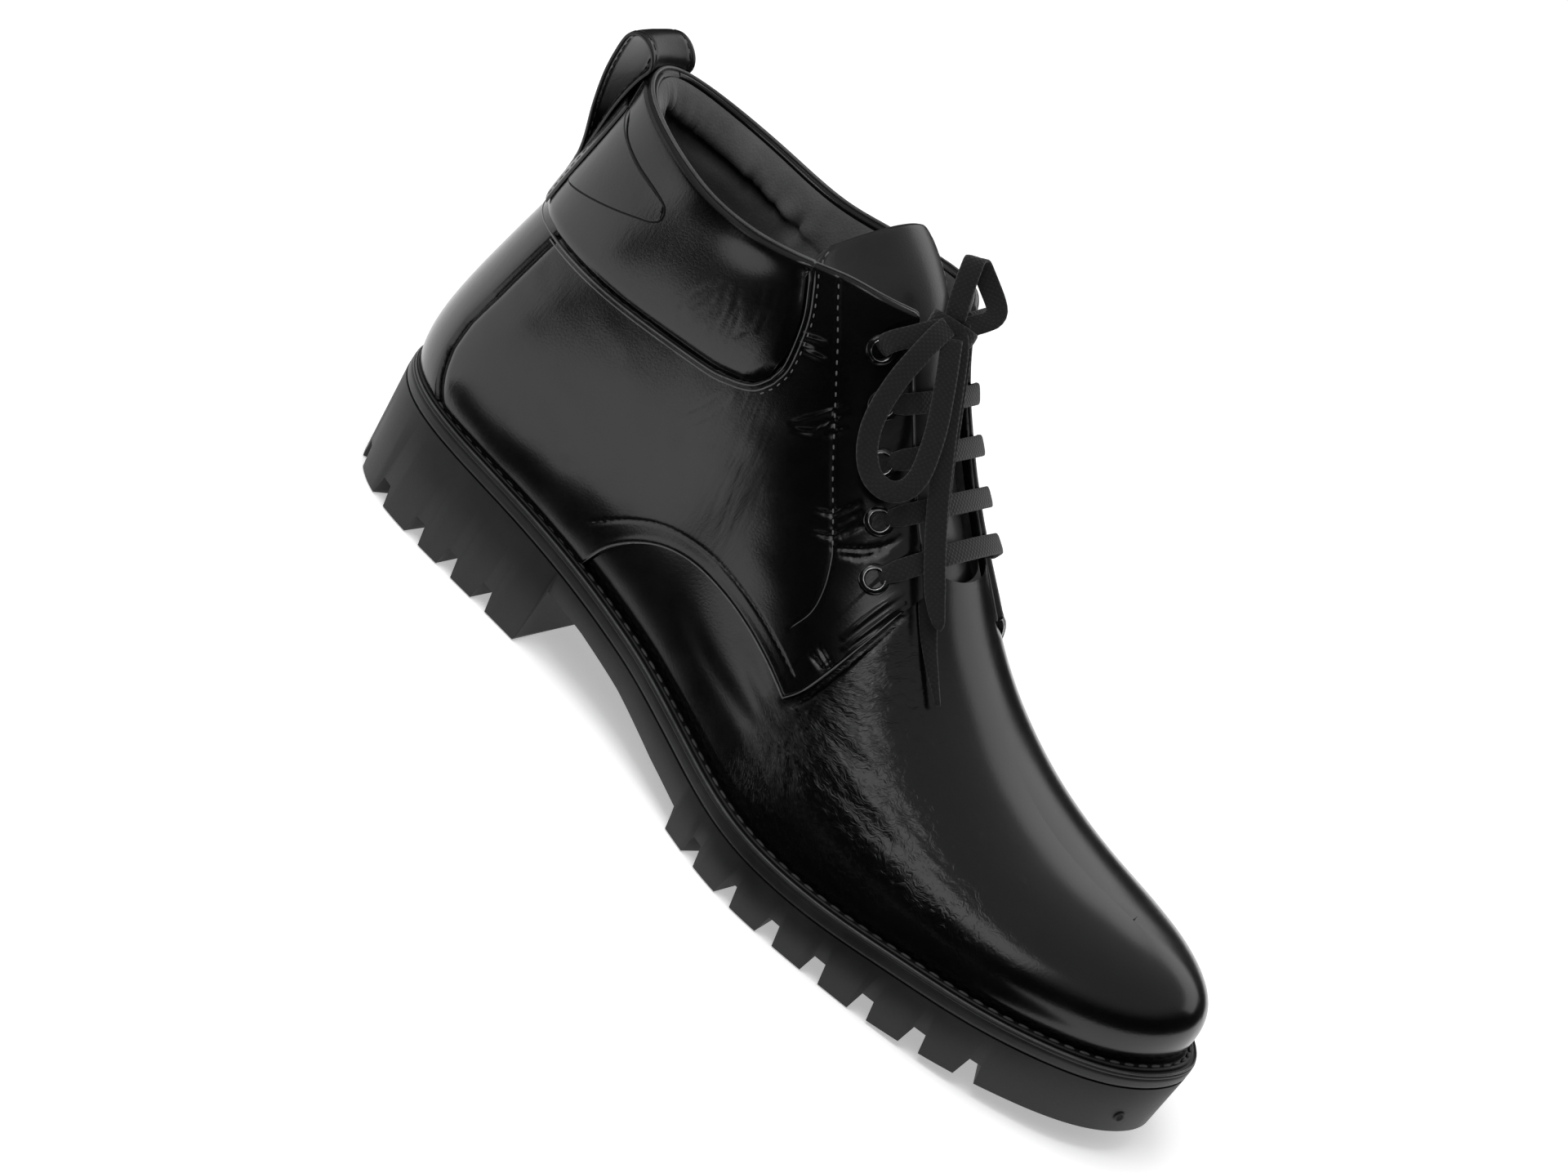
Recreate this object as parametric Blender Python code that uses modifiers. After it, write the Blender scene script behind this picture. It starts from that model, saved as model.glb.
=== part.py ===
"""A lace-up work boot for the right foot: hollow leather upper on a welted, lugged rubber sole.

The tables below are in millimetres. X runs from the heel's rear to the toe, Y from the outer to the inner
side of the foot, and Z up from the floor. ORIGIN moves the result under the middle of the boot, in metres.
"""

import math

import bmesh
import bpy
import numpy as np
from mathutils import Vector

MM = 0.001
ORIGIN = np.array((154.0, -2.55, 0.0))

GAP = 0.3
WALL = 2.2
PANEL = 1.5
CUFF = 2.0
PANEL_FOOT = 0.05
INNER_FRONT = 9.0
WELT_WIDTH = 2.8
WELT_HEIGHT = 1.6
MIDSOLE = 4.5
INSOLE = 3.2
LUG_DEPTH = 6.5
LACE_WIDTH = 6.0
LACE_THICK = 1.3
LACE_STEPS = 9
BAR_BOW = 0.0185
BAR_EDGE = 16.0
BAR_LIFT = 0.5
CORD_RADIUS = 1.5
KNOT_RADIUS = 4.2

# One row for each section of the sole, heel to toe: its top edge, how far the foot of the side wall lies
# inside that edge, and how far the upper stands in from it.
SOLE_COLUMNS = ("x", "outer", "inner", "edge", "undercut", "ledge")
SOLE = (
    (0.0, 0.0, 0.0, 35.0, 3.0, 4.0),
    (5.0, -18.5, 18.5, 35.0, 2.6, 4.0),
    (19.0, -32.0, 32.0, 35.0, 2.0, 4.4),
    (40.0, -37.0, 37.0, 34.2, 1.5, 4.8),
    (68.0, -37.2, 36.4, 32.7, 1.2, 5.0),
    (93.0, -37.7, 34.4, 30.4, 1.2, 5.0),
    (110.0, -39.0, 33.8, 28.2, 1.2, 5.0),
    (124.0, -41.0, 34.2, 26.2, 1.2, 5.0),
    (138.0, -44.5, 35.4, 24.0, 1.2, 5.0),
    (153.0, -49.0, 37.8, 21.6, 1.2, 5.0),
    (170.0, -54.5, 43.0, 19.6, 1.2, 5.0),
    (190.0, -58.3, 49.0, 18.8, 1.2, 5.0),
    (214.0, -56.4, 52.8, 19.2, 1.4, 5.0),
    (238.0, -51.6, 52.5, 21.4, 1.6, 5.0),
    (261.0, -45.4, 48.8, 23.6, 1.8, 5.0),
    (282.0, -35.2, 40.4, 25.8, 1.6, 5.0),
    (300.0, -19.5, 24.0, 28.4, 1.0, 5.0),
    (308.0, 3.0, 3.0, 30.4, 0.8, 5.0),
)

# The upper's column that starts at the same section: the way it faces (180 back, 90 sideways, 0 to the
# toe), its top on the collar or on the crest of the instep and vamp, and the pull of its two ends.
UPPER_COLUMNS = ("face", "top_x", "top_mid", "top_half", "top_z", "foot_out", "foot_up", "top_out", "top_drop")
UPPER = (
    (180, 14.5, 0.0, 0.0, 144.0, 8.6, 18.0, -3.2, 40.0),
    (150, 18.0, 0.6, 10.9, 142.5, 8.6, 19.0, -2.5, 38.0),
    (122, 28.0, 1.8, 20.0, 140.0, 8.2, 21.0, 0.0, 36.0),
    (98, 46.0, 2.6, 27.2, 137.5, 7.5, 24.0, 1.5, 35.0),
    (90, 69.0, 2.8, 30.5, 136.8, 7.5, 26.0, 2.0, 35.0),
    (90, 93.0, 2.8, 31.3, 141.8, 7.5, 28.0, 4.0, 34.0),
    (90, 107.0, 2.0, 28.4, 146.0, 7.5, 30.0, 9.0, 32.0),
    (90, 121.0, 1.0, 21.0, 147.5, 6.0, 33.0, 14.0, 24.0),
    (90, 135.0, 0.0, 0.0, 141.0, 4.0, 36.0, 32.0, 5.0),
    (90, 152.5, 0.0, 0.0, 119.5, 3.0, 36.0, 31.0, 2.0),
    (90, 172.0, 0.0, 0.0, 99.0, 3.5, 30.0, 32.0, 0.0),
    (90, 191.0, 0.0, 0.0, 81.0, 4.5, 26.0, 34.0, 0.0),
    (90, 213.0, 0.0, 0.0, 65.8, 5.0, 22.5, 35.0, 0.0),
    (84, 234.0, 1.0, 0.0, 56.6, 5.5, 19.0, 34.0, 0.0),
    (74, 251.0, 2.0, 0.0, 53.4, 5.5, 17.5, 32.0, 0.0),
    (56, 262.0, 2.5, 0.0, 52.8, 5.0, 17.5, 29.0, 0.0),
    (28, 268.0, 3.0, 0.0, 52.6, 4.0, 18.0, 27.0, 0.0),
    (0, 270.0, 3.0, 0.0, 52.6, 3.0, 18.5, 26.0, 0.0),
)
TOE_ROW = len(SOLE) - 1
LOOP_ROWS = 2 * TOE_ROW
RIDGE_ROW = 9.6
COLLAR_ROW = 5.0

# The throat: the open slot over the instep, as half its width along the rows.
THROAT_TOP_ROW = 7.0
THROAT_TOP_HALF = 15.0
THROAT_HALF = 19.0
THROAT_TURN_ROW = 9.5
THROAT_BASE_ROW = 10.25

# The columns and levels that the faceted skins are drawn with: each side's rows, heel to toe.
SKIN_ROWS = sorted({*np.arange(0, 17.1, 0.5), 7.25, 9.95, 10.1, 10.25})
SKIN_LEVELS = 8

# Outlines in the side view, as X and Z: the quarter's lower and front edge, the cuff's lower and front
# edge, and the heel patch.
QUARTER_EDGE = (
    (91.5, 15.0),
    (92.0, 32.0),
    (96.5, 42.0),
    (104.0, 50.5),
    (113.0, 56.3),
    (124.0, 58.8),
    (140.0, 58.3),
    (156.0, 55.3),
    (170.3, 51.0),
    (172.0, 58.0),
    (173.6, 67.0),
    (174.3, 77.0),
    (174.3, 100.0),
)
CUFF_EDGE = (
    (-20.0, 95.0),
    (20.7, 95.4),
    (54.7, 97.6),
    (87.8, 102.5),
    (98.0, 105.4),
    (104.5, 108.8),
    (107.8, 113.5),
    (108.0, 119.0),
    (104.5, 130.0),
    (97.0, 141.6),
    (94.0, 160.0),
)
PATCH_EDGE = (
    (-20.0, 104.0),
    (8.0, 104.5),
    (19.7, 107.0),
    (36.0, 113.5),
    (49.0, 119.5),
    (52.6, 122.0),
    (53.0, 125.0),
    (50.6, 127.2),
    (36.0, 128.4),
    (26.0, 130.5),
    (20.5, 134.5),
    (18.0, 140.0),
    (17.5, 160.0),
    (-20.0, 160.0),
)
STRIP_HALF = 13.5

# The pull loop from its stitched foot up over the collar and down inside: X, Z, and how far its two
# edges lie ahead of its middle.
LOOP_HALF = 11.5
LOOP_THICK = 1.6
PULL_LOOP = (
    (8.0, 106.0, 2.8),
    (9.0, 112.0, 2.8),
    (9.0, 118.0, 2.4),
    (6.2, 127.0, 1.6),
    (3.6, 136.0, 1.0),
    (2.6, 143.5, 0.8),
    (3.2, 149.2, 0.6),
    (6.6, 151.8, 0.6),
    (11.2, 151.0, 1.2),
    (15.6, 148.4, 2.4),
    (18.8, 145.2, 3.8),
    (19.6, 141.0, 4.6),
    (19.0, 133.0, 4.8),
    (18.6, 124.0, 5.0),
)

# The free lace: each stretch runs through these points, clear of the knot that ties them.
KNOT = ((133.6, -13.0, 149.0), (134.4, -7.0, 151.4), (134.0, -1.0, 151.6))
LACE_ROUTES = {
    "lace_strand_outer": ((127.6, -23.4, 141.4), (129.4, -21.2, 145.0), (131.2, -18.6, 147.4)),
    "lace_strand_inner": ((128.0, 24.0, 141.6), (130.4, 18.0, 147.4), (132.4, 10.0, 150.8), (133.4, 4.6, 151.6)),
    "lace_loop_hanging": (
        (133.8, -13.6, 149.6),
        (133.6, -20.6, 148.2),
        (134.2, -26.9, 142.2),
        (135.2, -31.4, 132.0),
        (136.2, -33.4, 121.4),
        (140.4, -35.4, 112.0),
        (146.7, -35.6, 107.4),
        (153.1, -33.8, 107.9),
        (158.4, -29.6, 111.8),
        (158.6, -24.8, 118.8),
        (153.6, -20.4, 128.0),
        (146.0, -17.6, 138.6),
        (139.4, -15.6, 147.6),
    ),
    "lace_loop_upper": (
        (131.4, -8.2, 155.7),
        (127.4, -7.0, 161.6),
        (124.6, -4.0, 165.6),
        (125.0, 1.0, 168.6),
        (129.0, 7.0, 169.0),
        (134.4, 13.0, 166.0),
        (139.4, 17.4, 161.0),
        (141.6, 17.6, 157.0),
        (141.4, 12.0, 154.2),
        (138.6, 4.6, 154.0),
    ),
    "lace_end_outer": (
        (139.8, -9.6, 150.6),
        (147.6, -11.4, 139.6),
        (158.4, -14.4, 124.8),
        (169.6, -18.2, 110.0),
        (179.0, -20.8, 98.8),
        (186.6, -22.6, 89.6),
    ),
    "lace_end_inner": (
        (140.0, -4.6, 150.6),
        (149.0, -5.0, 137.6),
        (160.4, -7.0, 123.4),
        (172.4, -10.6, 108.6),
        (183.4, -14.8, 93.6),
        (192.4, -18.0, 83.6),
        (200.2, -20.6, 75.6),
    ),
}

# The tongue from its foot under the vamp to its top. Each row crosses it square to the run of its outer
# face: where its highest line lies, its two side edges, and how fast it falls away from that line.
TONGUE_COLUMNS = ("x", "z", "crown", "outer", "inner", "fall")
TONGUE_THICK = 3.0
TONGUE_ACROSS = 11
TONGUE = (
    (189.5, 77.4, 0.0, -20.0, 18.0, 0.0125),
    (178.4, 86.8, -0.5, -23.0, 20.0, 0.0142),
    (168.9, 95.9, -1.0, -24.0, 20.5, 0.0164),
    (159.0, 105.2, -1.0, -24.0, 20.5, 0.0188),
    (149.2, 115.6, -1.0, -24.0, 20.5, 0.0217),
    (140.0, 127.2, -1.0, -24.0, 20.5, 0.0252),
    (132.0, 137.0, 0.0, -24.0, 21.0, 0.0268),
    (122.6, 144.6, 4.0, -24.5, 22.0, 0.0240),
    (112.0, 150.8, 7.0, -25.5, 24.0, 0.0180),
    (104.6, 154.6, 8.0, -25.5, 24.0, 0.0162),
    (100.8, 156.4, 8.0, -24.0, 22.0, 0.0158),
    (98.2, 157.6, 8.0, -19.0, 18.5, 0.0155),
)

# Five pairs of eyelets, evenly spaced from the top pair to the lowest, in the side view.
EYELET_TOP = (124.0, 136.4)
EYELET_LOW = (163.4, 88.3)
EYELET_PAIRS = 5
EYELET_RADIUS = 4.7
EYELET_HOLE = 2.6
EYELET_HEAD = 0.8
EYELET_SEAT = 0.45
EYELET_SIDES = 8

# Where the grooves between the lugs start on the sole's side, as X.
SIDE_GROOVES = (26.5, 43.6, 57.8, 72.5, 174.5, 190.6, 206.7, 222.8, 238.9, 255.0, 271.1)
HEEL_GROOVE_ROWS = (0.0, 0.75, 1.4)
TOE_GROOVE_ROWS = (15.7, 16.35, 17.0)
SIDE_CHANNEL = (-3.0, 24.0)
HEEL_CHANNEL = (-4.0, 16.0)
TOE_CHANNEL = (8.0, 34.0)
GROOVE_MOUTH = 6.6
GROOVE_CEILING = 3.8
HOLLOW_ROWS = (10.5, 15.1)
HOLLOW_INSET = 26.0
STUDS = ((186, -13), (186, 8), (204, -19), (204, -2), (204, 14), (223, -14), (223, 4), (241, -9), (241, 8))
STUD_POINT = 5.4
STUD_WAIST = 2.4
HEEL_PAD = (40.0, 0.0)
PAD_RADIUS = 12.0
PAD_HOLLOW = 19.0
STUD_LEVEL = 1.2

# The tread's level along the foot: heel, breast, waist, forefoot and toe spring.
TREAD = (
    (0.0, 0.0),
    (88.0, 0.0),
    (88.6, 19.0),
    (104.0, 17.6),
    (124.0, 14.2),
    (146.0, 9.2),
    (162.0, 6.5),
    (163.0, 0.0),
    (236.0, 0.0),
    (252.0, 1.6),
    (268.0, 3.4),
    (286.0, 5.6),
    (308.0, 8.4),
)


def mirror_rows():
    """All sections in one closed loop: up the outer side from the heel to the toe, and back on the inner."""
    loop = []
    for number in range(LOOP_ROWS):
        outer = number <= TOE_ROW
        row = number if outer else LOOP_ROWS - number
        sole = dict(zip(SOLE_COLUMNS, SOLE[row]))
        upper = dict(zip(UPPER_COLUMNS, UPPER[row]))
        side = -1 if outer else 1
        face = math.radians(upper["face"])
        loop.append(
            (
                sole["x"],
                sole["outer"] if outer else sole["inner"],
                sole["edge"],
                sole["undercut"],
                sole["ledge"],
                math.cos(face),
                side * math.sin(face),
                upper["top_x"],
                upper["top_mid"] + side * upper["top_half"],
                upper["top_z"],
                upper["foot_out"],
                upper["foot_up"],
                upper["top_out"],
                upper["top_drop"],
            )
        )
    return np.array(loop)


LOOP = mirror_rows()


def closed_spline(values):
    """The bends of a smooth closed curve through evenly numbered values."""
    count = len(values)
    near = np.roll(np.eye(count), 1, axis=0) + np.roll(np.eye(count), -1, axis=0)
    turn = np.roll(values, -1, axis=0) - 2 * values + np.roll(values, 1, axis=0)
    return np.linalg.solve(4 * np.eye(count) + near, 6 * turn)


BENDS = closed_spline(LOOP)


def section(t):
    """The table's values at row t of the loop, which may lie between two rows."""
    t = np.asarray(t, float)
    first = np.floor(t).astype(int) % LOOP_ROWS
    second = (first + 1) % LOOP_ROWS
    f = (t - np.floor(t))[..., None]
    straight = (1 - f) * LOOP[first] + f * LOOP[second]
    bend = ((1 - f) ** 3 - (1 - f)) * BENDS[first] + (f**3 - f) * BENDS[second]
    return straight + bend / 6


def edge_point(t, inset, z):
    """A point level with z, this far inside the sole's top edge."""
    here = section(t)[..., :2]
    along = section(np.asarray(t) + 0.01)[..., :2] - section(np.asarray(t) - 0.01)[..., :2]
    inward = np.stack((-along[..., 1], along[..., 0]), axis=-1)
    inward /= np.linalg.norm(inward, axis=-1, keepdims=True)
    flat = here + inward * np.asarray(inset)[..., None]
    return np.concatenate((flat, np.broadcast_to(np.asarray(z, float)[..., None], flat.shape[:-1] + (1,))), axis=-1)


def surface(t, v, lift=0.0):
    """The upper's outer face: row t round the foot, v from its foot (0) to its top (1), lifted off it."""
    t, v = np.broadcast_arrays(np.asarray(t, float), np.asarray(v, float))

    def plain(t, v):
        row = section(t)
        face = row[..., 5:7] / np.linalg.norm(row[..., 5:7], axis=-1, keepdims=True)
        out = np.concatenate((face, np.zeros(face.shape[:-1] + (1,))), axis=-1)
        up = np.array((0.0, 0.0, 1.0))
        foot = edge_point(t, row[..., 4], row[..., 2] + GAP)
        top = row[..., 7:10].copy()
        across = np.minimum(t % LOOP_ROWS, -t % LOOP_ROWS)
        ridge = section(-t)[..., 7:10]
        top = np.where((across >= RIDGE_ROW)[..., None], (top + ridge) / 2, top)
        first = foot + out * row[..., 10:11] + up * row[..., 11:12]
        second = top + out * row[..., 12:13] - up * row[..., 13:14]
        w = v[..., None]
        return (1 - w) ** 3 * foot + 3 * (1 - w) ** 2 * w * first + 3 * (1 - w) * w**2 * second + w**3 * top

    point = plain(t, v)
    if np.any(lift):
        step = 0.01
        along = plain(t + step, v) - plain(t - step, v)
        upward = plain(t, np.minimum(v + step, 1)) - plain(t, v - step)
        normal = np.cross(along, upward)
        normal /= np.linalg.norm(normal, axis=-1, keepdims=True)
        point = point + normal * np.asarray(lift)[..., None]
    return point


def across_row(t):
    """The row number counted from the heel, whichever side t is on."""
    return min(t % LOOP_ROWS, -t % LOOP_ROWS)


def row_at(x):
    """The row, counted from the heel, where the sole's edge is at x."""
    rows = np.linspace(0, TOE_ROW, 681)
    return float(np.interp(x, section(rows)[:, 0], rows))


def reach(t, rounded=True):
    """How far up a column the leather goes: to its top, or to the edge of the throat, round at its base."""
    across = across_row(t)
    if across < COLLAR_ROW or (rounded and across > THROAT_BASE_ROW):
        return 1.0
    down = np.interp(across, (THROAT_TOP_ROW, THROAT_TURN_ROW), (0.0, 1.0))
    turn = max(0.0, (across - THROAT_TURN_ROW) / (THROAT_BASE_ROW - THROAT_TURN_ROW)) if rounded else 0.0
    half = (THROAT_TOP_HALF + down * (THROAT_HALF - THROAT_TOP_HALF)) * math.sqrt(1 - turn**2)
    levels = np.linspace(1, 0.3, 200)
    return float(np.interp(half, abs(surface(t, levels)[:, 1]), levels))


def spot(x, z, side):
    """The row and level whose point is seen at x and z from that side: -1 outer, 1 inner."""
    rows, levels = np.meshgrid(np.linspace(5, 12, 281), np.linspace(0.3, 1, 281), indexing="ij")
    rows = rows if side < 0 else LOOP_ROWS - rows
    points = surface(rows, levels)
    nearest = np.argmin((points[..., 0] - x) ** 2 + (points[..., 2] - z) ** 2)
    return float(rows.flat[nearest]), float(levels.flat[nearest])


def clear_scene():
    for old in list(bpy.data.objects):
        bpy.data.objects.remove(old, do_unlink=True)
    for old in list(bpy.data.collections):
        bpy.data.collections.remove(old)


def material(name, color, roughness, metallic=0.0):
    made = bpy.data.materials.new(name)
    made.use_nodes = True
    shader = made.node_tree.nodes["Principled BSDF"]
    shader.inputs["Base Color"].default_value = (*color, 1.0)
    shader.inputs["Roughness"].default_value = roughness
    shader.inputs["Metallic"].default_value = metallic
    return made


def add_mesh(name, points, faces, stuff, home):
    """An object from points in the tables' frame, its doubled corners made one."""
    mesh = bpy.data.meshes.new(name)
    points = (np.asarray(points, float).reshape(-1, 3) - ORIGIN) * MM
    mesh.from_pydata(points.tolist(), [], faces)
    build = bmesh.new()
    build.from_mesh(mesh)
    bmesh.ops.remove_doubles(build, verts=build.verts, dist=0.01 * MM)
    bmesh.ops.triangulate(build, faces=[face for face in build.faces if len(face.verts) > 4])
    build.to_mesh(mesh)
    build.free()
    made = bpy.data.objects.new(name, mesh)
    made.data.materials.append(stuff)
    home.objects.link(made)
    return made


def grid_faces(rows, columns, wrap=False):
    """Two triangles for each cell of a grid of points, its rows closed in a ring if wrap is set."""
    faces = []
    for i in range(rows if wrap else rows - 1):
        for j in range(columns - 1):
            a = i * columns + j
            b = (i + 1) % rows * columns + j
            faces += [(a, b, b + 1), (a, b + 1, a + 1)]
    return faces


def thicken(made, thickness, offset):
    solid = made.modifiers.new("thickness", "SOLIDIFY")
    solid.thickness = thickness * MM
    solid.offset = offset
    solid.use_even_offset = False
    solid.use_quality_normals = True


def combine(made, tool, operation, crossing=False):
    change = made.modifiers.new(tool.name, "BOOLEAN")
    change.operation = operation
    change.object = tool
    change.solver = "EXACT"
    change.use_self = crossing


def hide_tool(tool):
    tool.hide_render = True
    tool.display_type = "WIRE"
    return tool


def prism(name, corners, depth, axis="Y"):
    """A cutter: an outline in the side view (or from the back, on X) drawn out along its axis."""
    count = len(corners)
    ends = []
    for level in depth:
        for across, z in corners:
            ends.append((across, level, z) if axis == "Y" else (level, across, z))
    faces = [tuple(range(count)), tuple(range(2 * count - 1, count - 1, -1))]
    faces += [(i, i + count, (i + 1) % count + count, (i + 1) % count) for i in range(count)]
    tool = add_mesh(name, ends, faces, STUFF["cutter"], CUTTERS)
    return face_out(hide_tool(tool))


def face_out(made):
    """Turns the faces of a closed mesh outwards."""
    build = bmesh.new()
    build.from_mesh(made.data)
    bmesh.ops.recalc_face_normals(build, faces=build.faces)
    if build.calc_volume(signed=True) < 0:
        bmesh.ops.reverse_faces(build, faces=build.faces)
    build.to_mesh(made.data)
    build.free()
    return made


def skin(name, rows, stuff, first=0, rounded=True):
    """An open patch just outside the upper, over these rows and from this level up."""
    points = []
    for t in rows:
        levels = np.linspace(0, reach(t, rounded), SKIN_LEVELS)
        levels[0] = PANEL_FOOT
        points.append(surface(t, levels[first:], GAP))
    return add_mesh(name, points, grid_faces(len(rows), SKIN_LEVELS - first), stuff, PARTS)


def slab(name, rows, low, high, low_inset, high_inset, stuff, home):
    """A slab right across the foot. low and high give its levels from row and X, and the insets its edges."""
    rings = []
    for t in rows:
        x = section(t)[0]
        for inner in (False, True):
            side = -t if inner else t
            bottom = edge_point(side, low_inset(t), 0.0)
            bottom[2] = low(t, bottom[0])
            top = edge_point(side, high_inset(t), high(t, x))
            rings.append((top, bottom) if inner else (bottom, top))
    corners = np.array(rings).reshape(len(rows), 4, 3)
    faces = []
    for i in range(len(rows) - 1):
        for j in range(4):
            k = (j + 1) % 4
            faces.append((4 * i + j, 4 * i + 4 + j, 4 * i + 4 + k, 4 * i + k))
    if rows[0] > 0:
        faces += [(0, 1, 2, 3), tuple(4 * len(rows) - n for n in (1, 2, 3, 4))]
    return face_out(add_mesh(name, corners, faces, stuff, home))


def tread_level(x):
    return float(np.interp(x, [x for x, _ in TREAD], [z for _, z in TREAD]))


def build_sole():
    breaks = [row_at(x) for x in (88.0, 88.6, 162.0, 163.0, 236.0)]
    ends = (0.2, 0.4, 0.6, 0.8, 16.2, 16.4, 16.6, 16.8)
    rows = sorted({*np.arange(0, 17.1, 0.5), *ends, *breaks})
    outsole = slab(
        "outsole",
        rows,
        lambda t, x: tread_level(x),
        lambda t, x: section(t)[2] - MIDSOLE - GAP,
        lambda t: section(t)[3],
        lambda t: 0.0,
        STUFF["rubber"],
        PARTS,
    )
    combine(outsole, groove_tool(), "DIFFERENCE", crossing=True)
    for tool in hollow_tools():
        combine(outsole, tool, "DIFFERENCE")
    combine(outsole, stud_tool(), "UNION")
    slab(
        "midsole",
        rows,
        lambda t, x: section(t)[2] - MIDSOLE,
        lambda t, x: section(t)[2],
        lambda t: 0.0,
        lambda t: 0.0,
        STUFF["midsole"],
        PARTS,
    )
    slab(
        "insole",
        [t for t in rows if t % 1 == 0 or t in ends],
        lambda t, x: section(t)[2] + GAP,
        lambda t, x: section(t)[2] + INSOLE,
        lambda t: section(t)[4] + WALL + 0.6,
        lambda t: section(t)[4] + WALL + 0.6,
        STUFF["lining"],
        PARTS,
    )


def groove_tool():
    """The tapered channels between the lugs, each square to the sole's edge."""
    rows = [row_at(x) for x in SIDE_GROOVES]
    channels = [(side * t, *SIDE_CHANNEL) for t in rows for side in (1, -1)]
    for groove_rows, middle, (start, stop) in (
        (HEEL_GROOVE_ROWS, 0, HEEL_CHANNEL),
        (TOE_GROOVE_ROWS, TOE_ROW, TOE_CHANNEL),
    ):
        for t in groove_rows:
            channels += [(side * t, start, stop) for side in ((1,) if t == middle else (1, -1))]
    points = []
    faces = []
    for t, start, stop in channels:
        ends = [edge_point(t, inset, 0.0) for inset in (start, stop)]
        inward = (ends[1] - ends[0]) / np.linalg.norm(ends[1] - ends[0])
        along = np.array((-inward[1], inward[0], 0.0))
        base = len(points)
        for end in ends:
            level = tread_level(end[0])
            for half, z in ((GROOVE_MOUTH, -1.0), (GROOVE_CEILING, LUG_DEPTH)):
                for sign in (-1, 1):
                    points.append(end + along * sign * half / 2 + (0, 0, level + z))
        quads = ((0, 1, 3, 2), (4, 6, 7, 5), (0, 4, 5, 1), (2, 3, 7, 6), (0, 2, 6, 4), (1, 5, 7, 3))
        faces += [tuple(base + n for n in quad) for quad in quads]
    return face_out(hide_tool(add_mesh("grooves", points, faces, STUFF["cutter"], CUTTERS)))


def hollow_tools():
    """The hollow inside the forefoot's ring of lugs, and the round one in the heel."""
    forefoot = slab(
        "forefoot_hollow",
        list(np.linspace(*HOLLOW_ROWS, 12)),
        lambda t, x: -3.0,
        lambda t, x: tread_level(x) + LUG_DEPTH - 1.5,
        lambda t: HOLLOW_INSET,
        lambda t: HOLLOW_INSET,
        STUFF["cutter"],
        CUTTERS,
    )
    heel = upright("heel_hollow", [star(HEEL_PAD, (PAD_HOLLOW,), 16)], (-2.0, LUG_DEPTH - 3.0))
    return hide_tool(forefoot), hide_tool(heel)


def star(centre, radii, sides):
    """The corners of a disc, or of a star if there are two radii."""
    turns = [math.tau * n / sides for n in range(sides)]
    reaches = [radii[n % len(radii)] for n in range(sides)]
    return [(centre[0] + r * math.cos(a), centre[1] + r * math.sin(a)) for r, a in zip(reaches, turns)]


def upright(name, outlines, depth):
    """A cutter made of flat outlines, as X and Y, drawn up from one level to the other."""
    points = []
    faces = []
    for corners in outlines:
        base, count = len(points), len(corners)
        points += [(x, y, level) for level in depth for x, y in corners]
        faces += [tuple(base + n for n in range(count)), tuple(base + 2 * count - 1 - n for n in range(count))]
        for i in range(count):
            j = (i + 1) % count
            faces.append((base + i, base + j, base + j + count, base + i + count))
    return face_out(add_mesh(name, points, faces, STUFF["cutter"], CUTTERS))


def stud_tool():
    """The round heel pad and the crossed studs, standing in their hollows."""
    outlines = [star(centre, (STUD_POINT, STUD_WAIST), 8) for centre in STUDS]
    outlines.append(star(HEEL_PAD, (PAD_RADIUS,), 16))
    return hide_tool(upright("studs", outlines, (STUD_LEVEL, LUG_DEPTH + 1.5)))


def build_welt():
    """The stitched strip that runs round the upper's foot on the midsole's ledge."""
    rows = np.arange(0, LOOP_ROWS, 0.5)
    points = []
    for t in rows:
        row = section(t)
        lean = row[10] / row[11] * (WELT_HEIGHT + GAP)
        outer = row[4] - GAP - WELT_WIDTH
        inner = row[4] - GAP
        for inset, z in ((outer, 0.0), (outer + 0.3, 1.0), (inner - lean, 1.0), (inner, 0.0)):
            points.append(edge_point(t, inset, row[2] + GAP + z * WELT_HEIGHT))
    count = len(rows)
    faces = []
    for i in range(count):
        j = (i + 1) % count
        faces += [(4 * i + n, 4 * j + n, 4 * j + (n + 1) % 4, 4 * i + (n + 1) % 4) for n in range(4)]
    face_out(add_mesh("welt", points, faces, STUFF["welt"], PARTS))


def build_upper():
    rows = [*SKIN_ROWS, *[LOOP_ROWS - t for t in SKIN_ROWS[-2:0:-1]]]
    points = [surface(t, np.linspace(0, reach(t), SKIN_LEVELS)) for t in rows]
    upper = add_mesh("upper", points, grid_faces(len(rows), SKIN_LEVELS, wrap=True), STUFF["leather"], PARTS)
    thicken(upper, WALL, -1.0)
    combine(upper, HOLES, "DIFFERENCE")


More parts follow.
